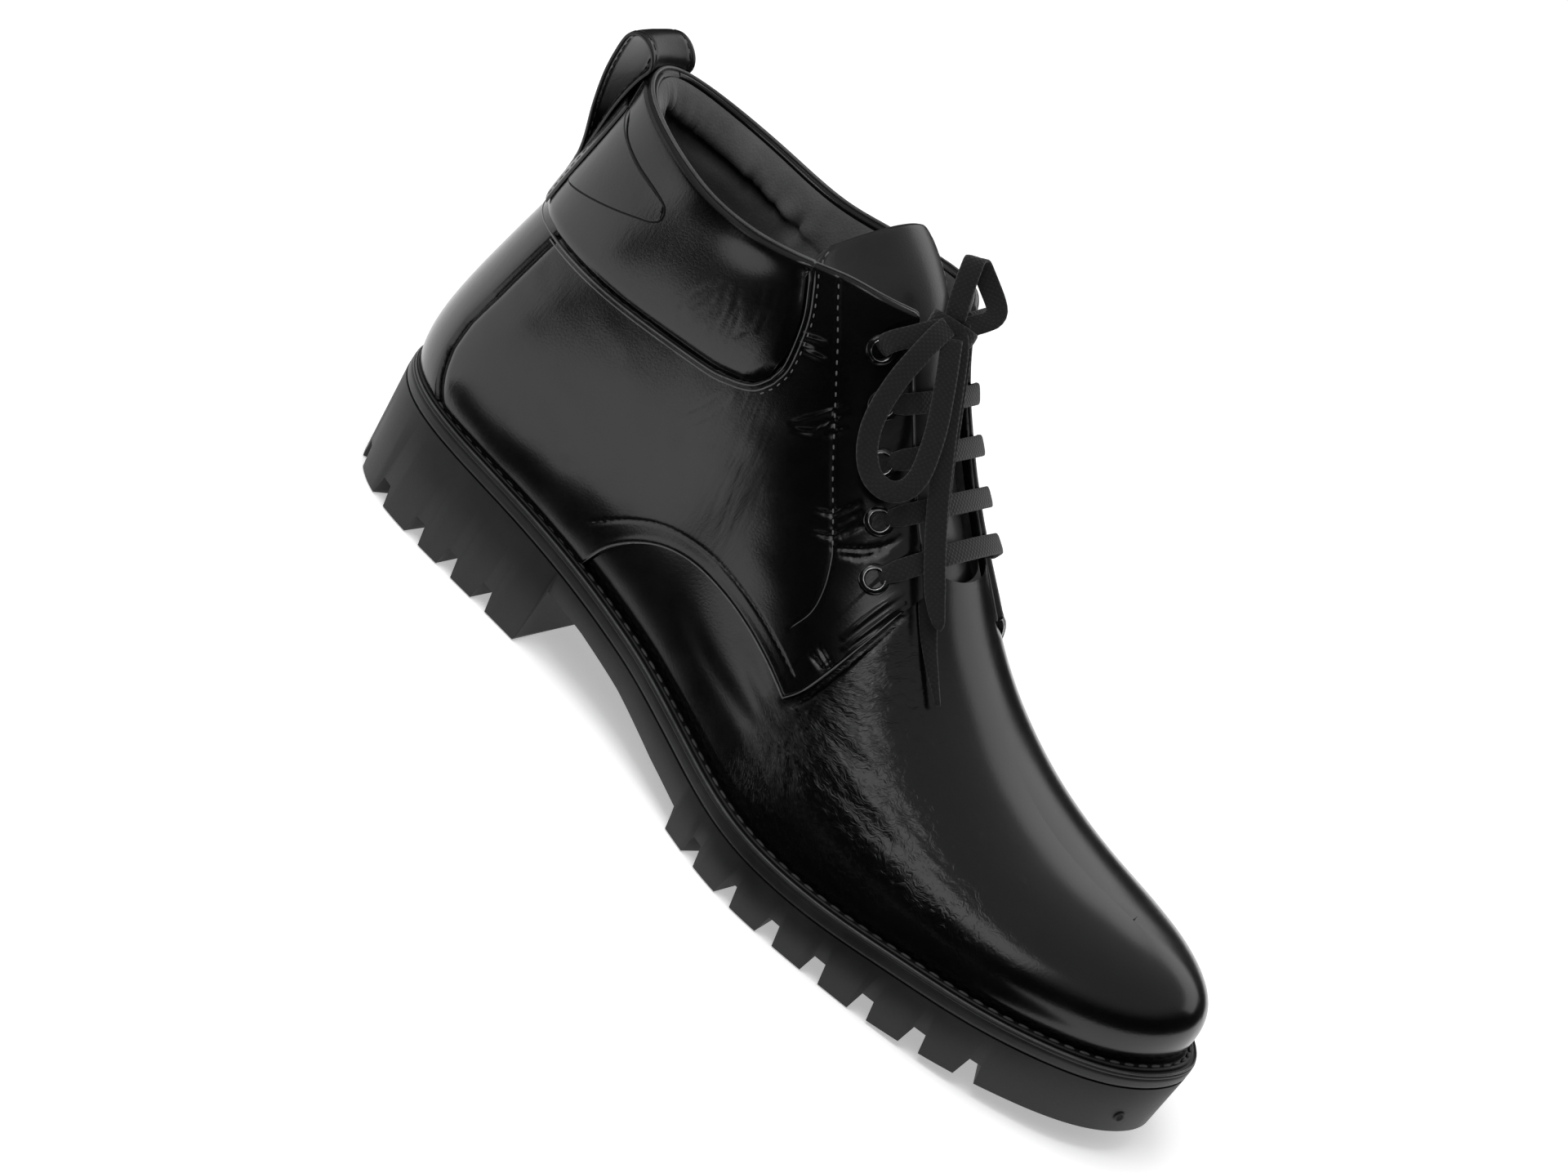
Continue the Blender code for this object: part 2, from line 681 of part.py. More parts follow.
def build_panels():
    quarter = [*QUARTER_EDGE, (174.3, 165.0), *reversed(grow(CUFF_EDGE, GAP)), (-20.0, 15.0)]
    strip_tool = prism("strip_cut", box_corners(STRIP_HALF + GAP, 0.0, 99.0), (-30.0, 60.0), "X")
    for name, side in (("quarter_outer", -1), ("quarter_inner", 1)):
        rows = [t for t in SKIN_ROWS if t <= 10.5]
        rows = rows if side < 0 else [-t for t in reversed(rows)]
        panel = skin(name, rows, STUFF["leather"], rounded=False)
        thicken(panel, PANEL, 1.0)
        outline = quarter if side < 0 else [(x + INNER_FRONT * (x > 160), z) for x, z in quarter]
        combine(panel, prism(name + "_outline", outline, (side * 2.0, side * 90.0)), "INTERSECT")
        combine(panel, strip_tool, "DIFFERENCE")
        combine(panel, HOLES, "DIFFERENCE")
    rows = [t for t in SKIN_ROWS if t <= 6.5]
    ring = [*[-t for t in rows[:0:-1]], *rows]
    cuff = skin("collar_cuff", ring, STUFF["leather"], first=3)
    thicken(cuff, CUFF, 1.0)
    combine(cuff, prism("cuff_outline", [*CUFF_EDGE, (-20.0, 160.0)], (-90.0, 90.0)), "INTERSECT")
    combine(cuff, prism("patch_opening", grow(PATCH_EDGE, GAP), (-90.0, 90.0)), "DIFFERENCE")
    back = [t for t in ring if abs(t) <= 4.5]
    patch = skin("heel_patch", back, STUFF["leather"], first=3)
    thicken(patch, CUFF, 1.0)
    combine(patch, prism("patch_outline", PATCH_EDGE, (-90.0, 90.0)), "INTERSECT")
    back = [t for t in ring if abs(t) <= 2.0]
    strip = skin("back_strip", back, STUFF["leather"])
    thicken(strip, PANEL, 1.0)
    combine(strip, prism("strip_outline", box_corners(STRIP_HALF, 0.0, 94.4), (-30.0, 60.0), "X"), "INTERSECT")


def box_corners(half, low, high):
    return [(-half, low), (half, low), (half, high), (-half, high)]


def grow(corners, by):
    """The same outline moved sideways: a positive amount to the right of its direction."""
    corners = np.array(corners)
    ahead = np.roll(corners, -1, axis=0) - corners
    ahead[-1] = ahead[-2]
    ahead /= np.linalg.norm(ahead, axis=1, keepdims=True)
    behind = np.roll(ahead, 1, axis=0)
    behind[0] = ahead[0]
    along = ahead + behind
    along /= np.linalg.norm(along, axis=1, keepdims=True)
    return [tuple(row) for row in corners + by * np.stack((along[:, 1], -along[:, 0]), axis=1)]


def build_pull_loop():
    path = np.array(PULL_LOOP)
    along = np.gradient(path[:, :2], axis=0)
    along /= np.linalg.norm(along, axis=1, keepdims=True)
    normal = np.stack((-along[:, 1], along[:, 0]), axis=1)
    points = []
    across = np.linspace(-1, 1, 5)
    for (x, z, sag), (nx, nz) in zip(path, normal):
        for face in (-0.5, 0.5):
            for y in across if face < 0 else across[::-1]:
                shift = face * LOOP_THICK
                points.append((x + sag * y * y + nx * shift, y * LOOP_HALF, z + nz * shift))
    build_tube("pull_loop", points, len(path), STUFF["leather"])


def build_tube(name, points, rings, stuff):
    """A closed solid from rings of corners, its two ends capped."""
    count = len(points) // rings
    faces = []
    for i in range(rings - 1):
        for j in range(count):
            k = (j + 1) % count
            faces.append((i * count + j, i * count + k, (i + 1) * count + k, (i + 1) * count + j))
    half = count // 2
    for start in (0, (rings - 1) * count):
        for n in range(half - 1):
            faces.append((start + n, start + n + 1, start + count - 2 - n, start + count - 1 - n))
    return face_out(add_mesh(name, points, faces, stuff, PARTS))


def build_tongue():
    path = np.array(TONGUE)
    along = np.gradient(path[:, :2], axis=0)
    along /= np.linalg.norm(along, axis=1, keepdims=True)
    inward = np.stack((-along[:, 1], along[:, 0]), axis=1)
    inward *= -np.sign(inward[:, 1:])
    points = []
    for (x, z, crown, outer, inner, fall), (nx, nz) in zip(path, inward):
        across = np.linspace(outer, inner, TONGUE_ACROSS)
        for depth in (0.0, TONGUE_THICK):
            for y in across if depth == 0 else across[::-1]:
                drop = fall * (y - crown) ** 2 + depth
                points.append((x + nx * drop, y, z + nz * drop))
    build_tube("tongue", points, len(path), STUFF["tongue"])


def eyelet_spots():
    """The eyelets' centres on the upper's surface with the way that each faces, by side and pair."""
    spots = {}
    for side in (-1, 1):
        for pair in range(EYELET_PAIRS):
            share = pair / (EYELET_PAIRS - 1)
            x, z = (1 - share) * np.array(EYELET_TOP) + share * np.array(EYELET_LOW)
            t, v = spot(x, z, side)
            centre = surface(t, v)
            normal = surface(t, v, 1.0) - centre
            spots[side, pair + 1] = (centre, normal)
    return spots


def turned(name, profile, steps, stuff, home):
    """A ring turned about Z from its closed profile of radius and height."""
    count = len(profile)
    mesh = bpy.data.meshes.new(name)
    points = [(radius * MM, 0.0, height * MM) for radius, height in profile]
    mesh.from_pydata(points, [(n, (n + 1) % count) for n in range(count)], [])
    made = bpy.data.objects.new(name, mesh)
    made.data.materials.append(stuff)
    home.objects.link(made)
    turn = made.modifiers.new("turn", "SCREW")
    turn.steps = turn.render_steps = steps
    turn.use_merge_vertices = True
    turn.merge_threshold = 0.00001
    return made


def face_along(made, point, normal):
    made.location = [float(value) for value in (np.asarray(point) - ORIGIN) * MM]
    made.rotation_mode = "QUATERNION"
    made.rotation_quaternion = Vector([float(value) for value in normal]).to_track_quat("Z", "Y")


def hole_tool(spots):
    """One cutter for all the eyelet holes."""
    points = []
    faces = []
    sides = 8
    for centre, normal in spots.values():
        first = np.cross(normal, (0.0, 1.0, 0.0))
        first /= np.linalg.norm(first)
        second = np.cross(normal, first)
        base = len(points)
        for depth in (-6.0, 6.0):
            for n in range(sides):
                angle = math.tau * n / sides
                ring = math.cos(angle) * first + math.sin(angle) * second
                points.append(centre + normal * depth + ring * (EYELET_HOLE + 0.8 + GAP))
        faces += [tuple(base + n for n in range(sides)), tuple(base + 2 * sides - 1 - n for n in range(sides))]
        for i in range(sides):
            j = (i + 1) % sides
            faces.append((base + i, base + j, base + j + sides, base + i + sides))
    return face_out(hide_tool(add_mesh("eyelet_holes", points, faces, STUFF["cutter"], CUTTERS)))


def build_eyelets(spots):
    base = GAP + PANEL + EYELET_SEAT
    profile = (
        (EYELET_HOLE, base + EYELET_HEAD),
        (EYELET_RADIUS, base),
        (EYELET_HOLE + 0.6, base),
        (EYELET_HOLE + 0.6, -WALL),
        (EYELET_HOLE, -WALL),
    )
    for (side, pair), (centre, normal) in spots.items():
        name = f"eyelet_{'outer' if side < 0 else 'inner'}_{pair}"
        made = turned(name, profile, EYELET_SIDES, STUFF["metal"], PARTS)
        face_along(made, centre, normal)


def build_lace_bars(spots):
    """The straight bars from eyelet to eyelet, each lying over the facings and bowed over the tongue."""
    rise = GAP + PANEL + EYELET_SEAT + EYELET_HEAD + GAP + BAR_LIFT
    for pair in range(2, EYELET_PAIRS + 1):
        (outer, outer_normal), (inner, inner_normal) = spots[-1, pair], spots[1, pair]
        middle = outer_normal + inner_normal
        middle /= np.linalg.norm(middle)
        start, stop = outer + outer_normal * rise, inner + inner_normal * rise
        along = np.cross(middle, (0.0, 1.0, 0.0))
        points = []
        half = np.linalg.norm(stop - start) / 2
        for f in np.linspace(0, 1, LACE_STEPS):
            y = (2 * f - 1) * half
            edge = max(y * y, BAR_EDGE**2)
            height = BAR_BOW * (half**2 - edge + (edge - y * y) / 3)
            centre = (1 - f) * start + f * stop + middle * height
            lean = (1 - f) * outer_normal + f * inner_normal
            lean /= np.linalg.norm(lean)
            for depth, signs in ((0.0, (-1, 1)), (LACE_THICK, (1, -1))):
                for sign in signs:
                    points.append(centre + lean * depth + along * sign * LACE_WIDTH / 2)
        build_tube(f"lace_bar_{pair}", points, LACE_STEPS, STUFF["lace"])


def lace_cord(name, corners, radius):
    """A free stretch of lace as a plain round tube."""
    curve = bpy.data.curves.new(name, "CURVE")
    curve.dimensions = "3D"
    curve.bevel_depth = radius * MM
    curve.bevel_resolution = 2
    curve.use_fill_caps = True
    spline = curve.splines.new("POLY")
    spline.points.add(len(corners) - 1)
    for target, point in zip(spline.points, (np.array(corners) - ORIGIN) * MM):
        target.co = (*[float(value) for value in point], 1.0)
    curve.materials.append(STUFF["lace"])
    PARTS.objects.link(bpy.data.objects.new(name, curve))


def main():
    spots = eyelet_spots()
    build_sole()
    build_welt()
    build_upper()
    build_panels()
    build_pull_loop()
    build_tongue()
    build_eyelets(spots)
    build_lace_bars(spots)
    lace_cord("lace_knot", KNOT, KNOT_RADIUS)
    for name, corners in LACE_ROUTES.items():
        lace_cord(name, corners, CORD_RADIUS)


clear_scene()
PARTS = bpy.data.collections.new("work_boot")
CUTTERS = bpy.data.collections.new("cutters")
for collection in (PARTS, CUTTERS):
    bpy.context.scene.collection.children.link(collection)
CUTTERS.hide_render = True
STUFF = {
    "leather": material("black_leather", (0.012, 0.012, 0.013), 0.32),
    "lining": material("grey_lining", (0.045, 0.045, 0.048), 0.85),
    "tongue": material("tongue_leather", (0.02, 0.02, 0.021), 0.4),
    "rubber": material("black_rubber", (0.02, 0.02, 0.021), 0.6),
    "midsole": material("midsole_rubber", (0.022, 0.022, 0.023), 0.55),
    "welt": material("welt_leather", (0.014, 0.014, 0.015), 0.5),
    "metal": material("eyelet_metal", (0.1, 0.1, 0.11), 0.3, 1.0),
    "lace": material("lace_fabric", (0.014, 0.014, 0.015), 0.8),
    "cutter": material("cutter", (0.6, 0.2, 0.2), 0.8),
}
HOLES = hole_tool(eyelet_spots())
main()
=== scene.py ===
import math
import bmesh
import bpy
import numpy as np
from mathutils import Matrix, Vector


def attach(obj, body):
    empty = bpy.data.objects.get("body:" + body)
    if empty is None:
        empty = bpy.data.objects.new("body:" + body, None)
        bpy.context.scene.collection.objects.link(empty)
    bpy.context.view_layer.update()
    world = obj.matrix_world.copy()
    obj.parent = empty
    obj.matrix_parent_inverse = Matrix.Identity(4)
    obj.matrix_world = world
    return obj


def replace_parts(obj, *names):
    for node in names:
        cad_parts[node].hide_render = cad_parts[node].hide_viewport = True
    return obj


# A right work boot: glossy black leather on a lugged rubber sole.
# The tables are in millimetres: X from heel to toe, Y from the outer to the inner side, Z up.

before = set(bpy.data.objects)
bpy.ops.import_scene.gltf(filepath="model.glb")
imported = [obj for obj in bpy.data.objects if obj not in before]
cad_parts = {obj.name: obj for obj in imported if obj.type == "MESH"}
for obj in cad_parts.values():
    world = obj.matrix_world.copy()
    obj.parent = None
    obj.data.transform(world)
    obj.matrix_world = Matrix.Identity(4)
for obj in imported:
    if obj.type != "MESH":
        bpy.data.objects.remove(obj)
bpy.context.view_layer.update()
origin = np.array((154.0, -2.55, 0.0))  # where the frame's origin lies in the tables


def place(points):
    # from the tables' millimetres to the frame's metres
    return (np.asarray(points, float) - origin) * 0.001


class Value:
    # a number from a node, which can be used in plain arithmetic

    def __init__(self, maker, socket):
        self.maker = maker
        self.socket = socket

    def joined(self, kind, first, second):
        return self.maker.node("ShaderNodeMath", {"operation": kind}, {0: first, 1: second})

    def __add__(self, other):
        return self.joined("ADD", self, other)

    def __sub__(self, other):
        return self.joined("SUBTRACT", self, other)

    def __rsub__(self, other):
        return self.joined("SUBTRACT", other, self)

    def __mul__(self, other):
        return self.joined("MULTIPLY", self, other)

    __radd__ = __add__
    __rmul__ = __mul__


class Nodes:
    # one node tree, and the ways to add to it

    def __init__(self, tree):
        self.tree = tree

    def node(self, kind, settings=None, sockets=None, output=0):
        # the settings come first, then the values or links of the sockets
        made = self.tree.nodes.new(kind)
        for key, value in (settings or {}).items():
            setattr(made, key, value)
        for key, value in (sockets or {}).items():
            if isinstance(value, Value):
                self.tree.links.new(value.socket, made.inputs[key])
            else:
                made.inputs[key].default_value = value
        return Value(self, made.outputs[output])

    def where(self, scale=(1, 1, 1)):
        # the boot's own metres, stretched by scale
        spot = self.node("ShaderNodeTexCoord", output="Object")
        return self.node("ShaderNodeMapping", {}, {"Vector": spot, "Scale": scale})

    def noise(self, scale, detail=3.0, rough=0.5, stretch=(1, 1, 1), twist=0.0):
        return self.node("ShaderNodeTexNoise", {}, {
            "Vector": self.where(stretch), "Scale": scale, "Detail": detail, "Roughness": rough, "Distortion": twist})

    def cells(self, scale, feature="DISTANCE_TO_EDGE"):
        return self.node("ShaderNodeTexVoronoi", {"feature": feature}, {"Vector": self.where(), "Scale": scale})

    def fan(self, x, z, lines):
        # fine wrinkles on the outer side, which spread forward from a point of it
        spot = self.node("ShaderNodeTexCoord", output="Object")
        ahead = self.node("ShaderNodeSeparateXYZ", {}, {0: spot}, output=0) - x
        up = self.node("ShaderNodeSeparateXYZ", {}, {0: spot}, output=2) - z
        turn = self.node("ShaderNodeMath", {"operation": "ARCTAN2"}, {0: up, 1: ahead}) + self.noise(75, 3, 0.6) * 0.3
        far = self.node("ShaderNodeMath", {"operation": "SQRT"}, {0: ahead * ahead + up * up})
        line = self.node("ShaderNodeCombineXYZ", {}, {0: turn * lines, 1: far * 150, 2: 0.0})
        ripple = self.node("ShaderNodeTexNoise", {}, {"Vector": line, "Scale": 1.0, "Detail": 3.0, "Roughness": 0.75})
        aside = self.between(self.node("ShaderNodeSeparateXYZ", {}, {0: spot}, output=1), -0.012, -0.026)
        return ripple * self.between(ahead, 0.004, 0.02) * self.between(ahead, 0.112, 0.085) * aside

    def between(self, mask, low, high):
        # mask stretched so that low reads 0 and high reads 1, and held there
        return self.node("ShaderNodeMapRange", {"clamp": True}, {0: mask, 1: low, 2: high, 3: 0.0, 4: 1.0})

    def blend(self, mask, first, second):
        # the first colour where mask is 0, and the second where it is 1
        sockets = {0: mask, 6: opaque(first), 7: opaque(second)}
        return self.node("ShaderNodeMix", {"data_type": "RGBA"}, sockets, output=2)

    def bump(self, height, distance, strength=1.0, after=None):
        sockets = {"Height": height, "Distance": distance, "Strength": strength}
        if after is not None:
            sockets["Normal"] = after
        return self.node("ShaderNodeBump", {}, sockets)


def opaque(color):
    return (*color, 1.0)


class Finish(Nodes):
    # one material, with the nodes that vary it

    def __init__(self, name, color, roughness, metallic=0.0, **fixed):
        self.material = bpy.data.materials.new(name)
        self.material.use_nodes = True
        super().__init__(self.material.node_tree)
        self.shader = self.tree.nodes["Principled BSDF"]
        fixed.update(Base_Color=opaque(color), Roughness=roughness, Metallic=metallic)
        for socket, value in fixed.items():
            self.shader.inputs[socket.replace("_", " ")].default_value = value

    def feed(self, **sockets):
        for name, value in sockets.items():
            self.tree.links.new(value.socket, self.shader.inputs[name.replace("_", " ")])
        return self.material


# the upper's glossy leather; flow stretches its creases, and fan draws them together at a point
leatherLook = {"dark": (0.0008, 0.0008, 0.00085), "worn": (0.002, 0.002, 0.0021), "roughness": 0.2, "grain": 820.0,
               "grainDepth": 0.00001, "creaseDepth": 0.00006, "flow": (2.6, 0.9, 0.75), "fan": None}
rubberLook = {"dark": (0.006, 0.006, 0.0063), "light": (0.012, 0.012, 0.0125), "roughness": 0.52, "pits": 0.00005}
clothLook = {"dark": (0.055, 0.055, 0.056), "light": (0.095, 0.095, 0.097), "weave": 1300.0, "depth": 0.00012}
braidLook = {"dark": (0.0022, 0.0022, 0.0023), "light": (0.0052, 0.0052, 0.0054), "bands": 2.3, "depth": 0.00014}
eyeletFinishLook = {"dark": (0.02, 0.02, 0.0205), "worn": (0.06, 0.06, 0.061), "lip": (0.7, 0.7, 0.71)}


def leatherFinish(name, **changes):
    look = {**leatherLook, **changes}
    roughness = look["roughness"]
    made = Finish(name, look["dark"], roughness, Specular_IOR_Level=0.5, Coat_Weight=0.1, Coat_Roughness=0.16)
    clouds = made.noise(38, 4, 0.55)
    patches = made.noise(130, 5, 0.6)
    grain = made.cells(look["grain"])
    pores = made.noise(2600, 2, 0.6)
    folds = made.fan(*look["fan"]) if look["fan"] else made.noise(150, 5, 0.62, stretch=look["flow"], twist=0.7)
    shade = made.between(clouds * 0.6 + patches * 0.4, 0.36, 0.66)
    color = made.blend(shade, look["dark"], look["worn"])
    rough = clouds * 0.12 + patches * 0.06 + (roughness - 0.09)
    drape = made.bump(folds, look["creaseDepth"], 0.7)
    skin = made.bump(made.between(grain, 0.0, 0.25) * 0.7 + pores * 0.5, look["grainDepth"], 0.8, after=drape)
    return made.feed(Base_Color=color, Roughness=rough, Normal=skin)


def liningFinish(name):
    made = Finish(name, clothLook["dark"], 0.9, Sheen_Weight=0.25, Sheen_Roughness=0.5)
    cloud = made.noise(60, 4, 0.6)
    weave = made.cells(clothLook["weave"], "F1")
    fuzz = made.noise(2400, 3, 0.7)
    color = made.blend(made.between(cloud * 0.7 + fuzz * 0.3, 0.35, 0.65), clothLook["dark"], clothLook["light"])
    return made.feed(Base_Color=color, Normal=made.bump(weave * 0.8 + fuzz * 0.6, clothLook["depth"], 0.8))


def rubberFinish(name, **changes):
    look = {**rubberLook, **changes}
    made = Finish(name, look["dark"], look["roughness"], Specular_IOR_Level=0.4)
    cloud = made.noise(45, 5, 0.6)
    fine = made.noise(1500, 3, 0.6)
    color = made.blend(made.between(cloud, 0.38, 0.66), look["dark"], look["light"])
    rough = cloud * 0.2 + fine * 0.1 + (look["roughness"] - 0.15)
    return made.feed(Base_Color=color, Roughness=rough, Normal=made.bump(fine, look["pits"], 0.5))


def laceFinish(name):
    # the braid runs in the lace's own length and width, which the mesh carries as its map
    made = Finish(name, braidLook["dark"], 0.78, Sheen_Weight=0.2)
    spot = made.node("ShaderNodeTexCoord", output="UV")
    diagonal = {"wave_type": "BANDS", "bands_direction": "DIAGONAL"}
    braid = made.node("ShaderNodeTexWave", diagonal, {"Vector": spot, "Scale": braidLook["bands"]})
    mirrored = made.node("ShaderNodeMapping", {}, {"Vector": spot, "Scale": (1, -1, 1)})
    cross = made.node("ShaderNodeTexWave", diagonal, {"Vector": mirrored, "Scale": braidLook["bands"]})
    fuzz = made.noise(2600, 3, 0.7)
    threads = braid * cross
    color = made.blend(made.between(threads * 0.7 + fuzz * 0.4, 0.2, 0.8), braidLook["dark"], braidLook["light"])
    return made.feed(Base_Color=color, Normal=made.bump(threads + fuzz * 0.5, braidLook["depth"], 0.8))


# grey thread, lighter than its own dark grey: the extra lightness is painted highlight on the stitches
def threadFinish(name):
    made = Finish(name, (0.1, 0.1, 0.101), 0.45, Specular_IOR_Level=0.5)
    return made.feed(Normal=made.bump(made.noise(5200, 2, 0.5), 0.00006, 0.6))


def ringFinish(name):
    made = Finish(name, (0.05, 0.05, 0.052), 0.14, 0.9, Coat_Weight=0.5, Coat_Roughness=0.05)
    wear = made.between(made.noise(900, 4, 0.6), 0.45, 0.7)
    color = made.blend(wear, eyeletFinishLook["dark"], eyeletFinishLook["worn"])
    return made.feed(Base_Color=color, Roughness=wear * 0.1 + 0.1)


def gleamFinish(name):
    made = Finish(name, eyeletFinishLook["lip"], 0.12, 1.0)
    return made.feed(Roughness=made.noise(700, 3, 0.6) * 0.14 + 0.06)


blackLeather = leatherFinish("blackLeather")
softLeather = leatherFinish("softLeather", dark=(0.004, 0.004, 0.0042), worn=(0.009, 0.009, 0.0093), roughness=0.34,
                            grainDepth=0.00002, creaseDepth=0.00005)
# pale leather for the midsole's rim and the facing's crease, far lighter than the black leather: painted highlight
# lines
highlightLeather = leatherFinish("highlightLeather", dark=(0.03, 0.03, 0.031), worn=(0.075, 0.075, 0.077), roughness=0.26,
                            grainDepth=0.00003, creaseDepth=0.00002)
weltLeather = leatherFinish("weltLeather", dark=(0.0016, 0.0016, 0.0016), worn=(0.004, 0.004, 0.004), roughness=0.5,
                            grainDepth=0.00004, creaseDepth=0.00003)
creasedLeather = leatherFinish("creasedLeather", creaseDepth=0.00042, fan=(0.004, 0.05, 25))
quarterLeather = leatherFinish("quarterLeather", creaseDepth=0.00005, flow=(5.0, 1.5, 0.5))
greyLining = liningFinish("greyLining")
# near-black matte rubber: painted shade in the eyelets' holes and the vent's hole, and the dark line of the heel
# patch's seam
darkShade = rubberFinish("darkShade", dark=(0.0008, 0.0008, 0.0008), light=(0.0016, 0.0016, 0.0016), roughness=0.8)
# pale leather for the thin cords on edges and seams, far lighter than the black leather: painted highlight lines
highlightEdge = leatherFinish("highlightEdge", dark=(0.05, 0.05, 0.051), worn=(0.1, 0.1, 0.102), roughness=0.28,
                           grainDepth=0.00001, creaseDepth=0.00001)
blackRubber = rubberFinish("blackRubber")
midsoleRubber = rubberFinish("midsoleRubber", dark=(0.007, 0.007, 0.0073), roughness=0.46)
laceCloth = laceFinish("laceCloth")
waxedThread = threadFinish("waxedThread")
rubberThread = rubberFinish("weltThread", dark=(0.02, 0.02, 0.0205), light=(0.04, 0.04, 0.041), roughness=0.5)
eyeletMetal = ringFinish("eyeletMetal")
eyeletGleam = gleamFinish("eyeletGleam")
print("finishes made")


# where the camera looks from: degrees, millimetres, and the lens in millimetres
view = {"turn": 20.529, "rise": 24.672, "roll": 34.946, "away": 1321.0, "aim": (150.0, 0.0, 60.0),
        "lens": 108.4, "right": -15.5, "up": 6.9}


def lookFrom(turn, rise):
    # the right, up and back directions of something that looks at the boot
    a, e = math.radians(turn), math.radians(rise)
    back = np.array((math.sin(a) * math.cos(e), -math.cos(a) * math.cos(e), math.sin(e)))
    right = np.array((math.cos(a), math.sin(a), 0.0))
    return right, np.cross(back, right), back


def viewAxes():
    right, up, back = lookFrom(view["turn"], view["rise"])
    r = math.radians(view["roll"])
    return math.cos(r) * right + math.sin(r) * up, -math.sin(r) * right + math.cos(r) * up, back


def linked(name, data):
    # a new object in the scene
    made = bpy.data.objects.new(name, data)
    bpy.context.collection.objects.link(made)
    return made


def turned(axes):
    return Matrix(axes).transposed().to_4x4()


def makeCamera():
    across, upward, back = viewAxes()
    spot = np.array(view["aim"]) + back * view["away"] + across * view["right"] + upward * view["up"]
    lens = bpy.data.cameras.new("camera")
    lens.lens = view["lens"]
    lens.clip_end = 50
    camera = linked("camera", lens)
    camera.matrix_world = Matrix.Translation(place(spot)) @ turned((across, upward, back))
    bpy.context.scene.camera = camera


def areaLight(name, turn, rise, away, width, power, height):
    lamp = bpy.data.lights.new(name, "AREA")
    lamp.shape = "RECTANGLE"
    lamp.size = width
    lamp.size_y = height
    lamp.energy = power
    made = linked(name, lamp)
    right, up, back = lookFrom(turn, rise)
    made.matrix_world = Matrix.Translation(Vector(back) * away + Vector((0, 0, 0.05))) @ turned((right, up, back))
    return made


# the dome is dark up to one height and bright from another; each light has its turn and rise round the boot,
# distance, width, power and height; the ring of black cloth opens at the left
studioLook = {
    "low": 0.02, "high": 0.36, "from": 0.42, "to": 0.78, "floor": 12, "floorGlow": 0.42,
    "lights": {"frontSoftbox": (4, 48, 1.4, 1.0, 2.3, 0.56), "rimSpot": (-18, 56, 1.4, 0.14, 0.4, 0.14),
               "backSoftbox": (168, 25, 1.5, 1.9, 5.0, 0.8), "sideSoftbox": (-80, 22, 1.3, 1.3, 2.2, 0.8),
               "overheadLight": (-30, 72, 1.6, 1.1, 17, 1.1)},
    "ringAway": 0.57, "ringTall": 0.22, "ringFrom": 222, "ringTo": 515,
    "card": ((-30, -64), (330, -64), (470, -470), (30, -480), (62, -250), (62, -128), (20, -100), (-30, -96)),
}


def makeDome():
    # a bright dome above and a dark band round the horizon, as between large soft lights
    world = bpy.data.worlds.new("studio")
    bpy.context.scene.world = world
    world.use_nodes = True
    dome = Nodes(world.node_tree)
    spot = dome.node("ShaderNodeTexCoord")
    height = dome.node("ShaderNodeSeparateXYZ", {}, {0: spot}, output=2)
    glow = dome.node("ShaderNodeMapRange", {"clamp": True, "interpolation_type": "SMOOTHSTEP"},
                     {0: height, 1: studioLook["from"], 2: studioLook["to"], 3: studioLook["low"],
                      4: studioLook["high"]})
    background = dome.tree.nodes["Background"]
    dome.tree.links.new(glow.socket, background.inputs[1])
    background.inputs[0].default_value = (1, 1, 1, 1)


def makeFloor():
    bpy.ops.mesh.primitive_plane_add(size=studioLook["floor"], location=(0, 0, -0.0004))
    floor = bpy.context.object
    floor.name = "floor"
    paper = Finish("palePaper", (0.86, 0.86, 0.86), 0.7, Emission_Color=(1, 1, 1, 1),
                   Emission_Strength=studioLook["floorGlow"])
    tone = paper.between(paper.noise(3, 2, 0.5), 0.2, 0.8)
    floor.data.materials.append(paper.feed(Base_Color=paper.blend(tone, (0.85, 0.85, 0.85), (0.87, 0.87, 0.87))))
    return floor


def addFlag(name, points, faces, finish):
    # a black cloth or card that only the gloss of the leather sees
    cloth = bpy.data.meshes.new(name)
    cloth.from_pydata(points, [], faces)
    cloth.materials.append(finish)
    flag = linked(name, cloth)
    flag.visible_camera = flag.visible_shadow = flag.visible_diffuse = False
    return flag


def makeStudio():
    bpy.context.scene.view_settings.view_transform = "Standard"
    makeDome()
    for name, setting in studioLook["lights"].items():
        lamp = areaLight(name, *setting)
        lamp.visible_glossy = name != "overheadLight"  # it lights the floor and makes the soft shadow
    floor = makeFloor()
    black = Finish("blackCloth", (0.004, 0.004, 0.004), 0.95)
    black.feed(Roughness=black.noise(90, 3, 0.6) * 0.1 + 0.88)
    # a low ring of black cloth round the table gives the gloss its dark horizon
    turns, away = np.radians(np.linspace(studioLook["ringFrom"], studioLook["ringTo"], 64)), studioLook["ringAway"]
    ring = [(away * math.cos(a), away * math.sin(a), z) for z in (0.0, studioLook["ringTall"]) for a in turns]
    flag = addFlag("flagRing", ring, gridFaces(2, 64).tolist(), black.material)
    # and a black card beside the forefoot keeps the low side of the vamp dark
    corners = place([(x, y, 1) for x, y in studioLook["card"]]).tolist()
    card = addFlag("flagCard", corners, [tuple(range(len(corners)))], black.material)


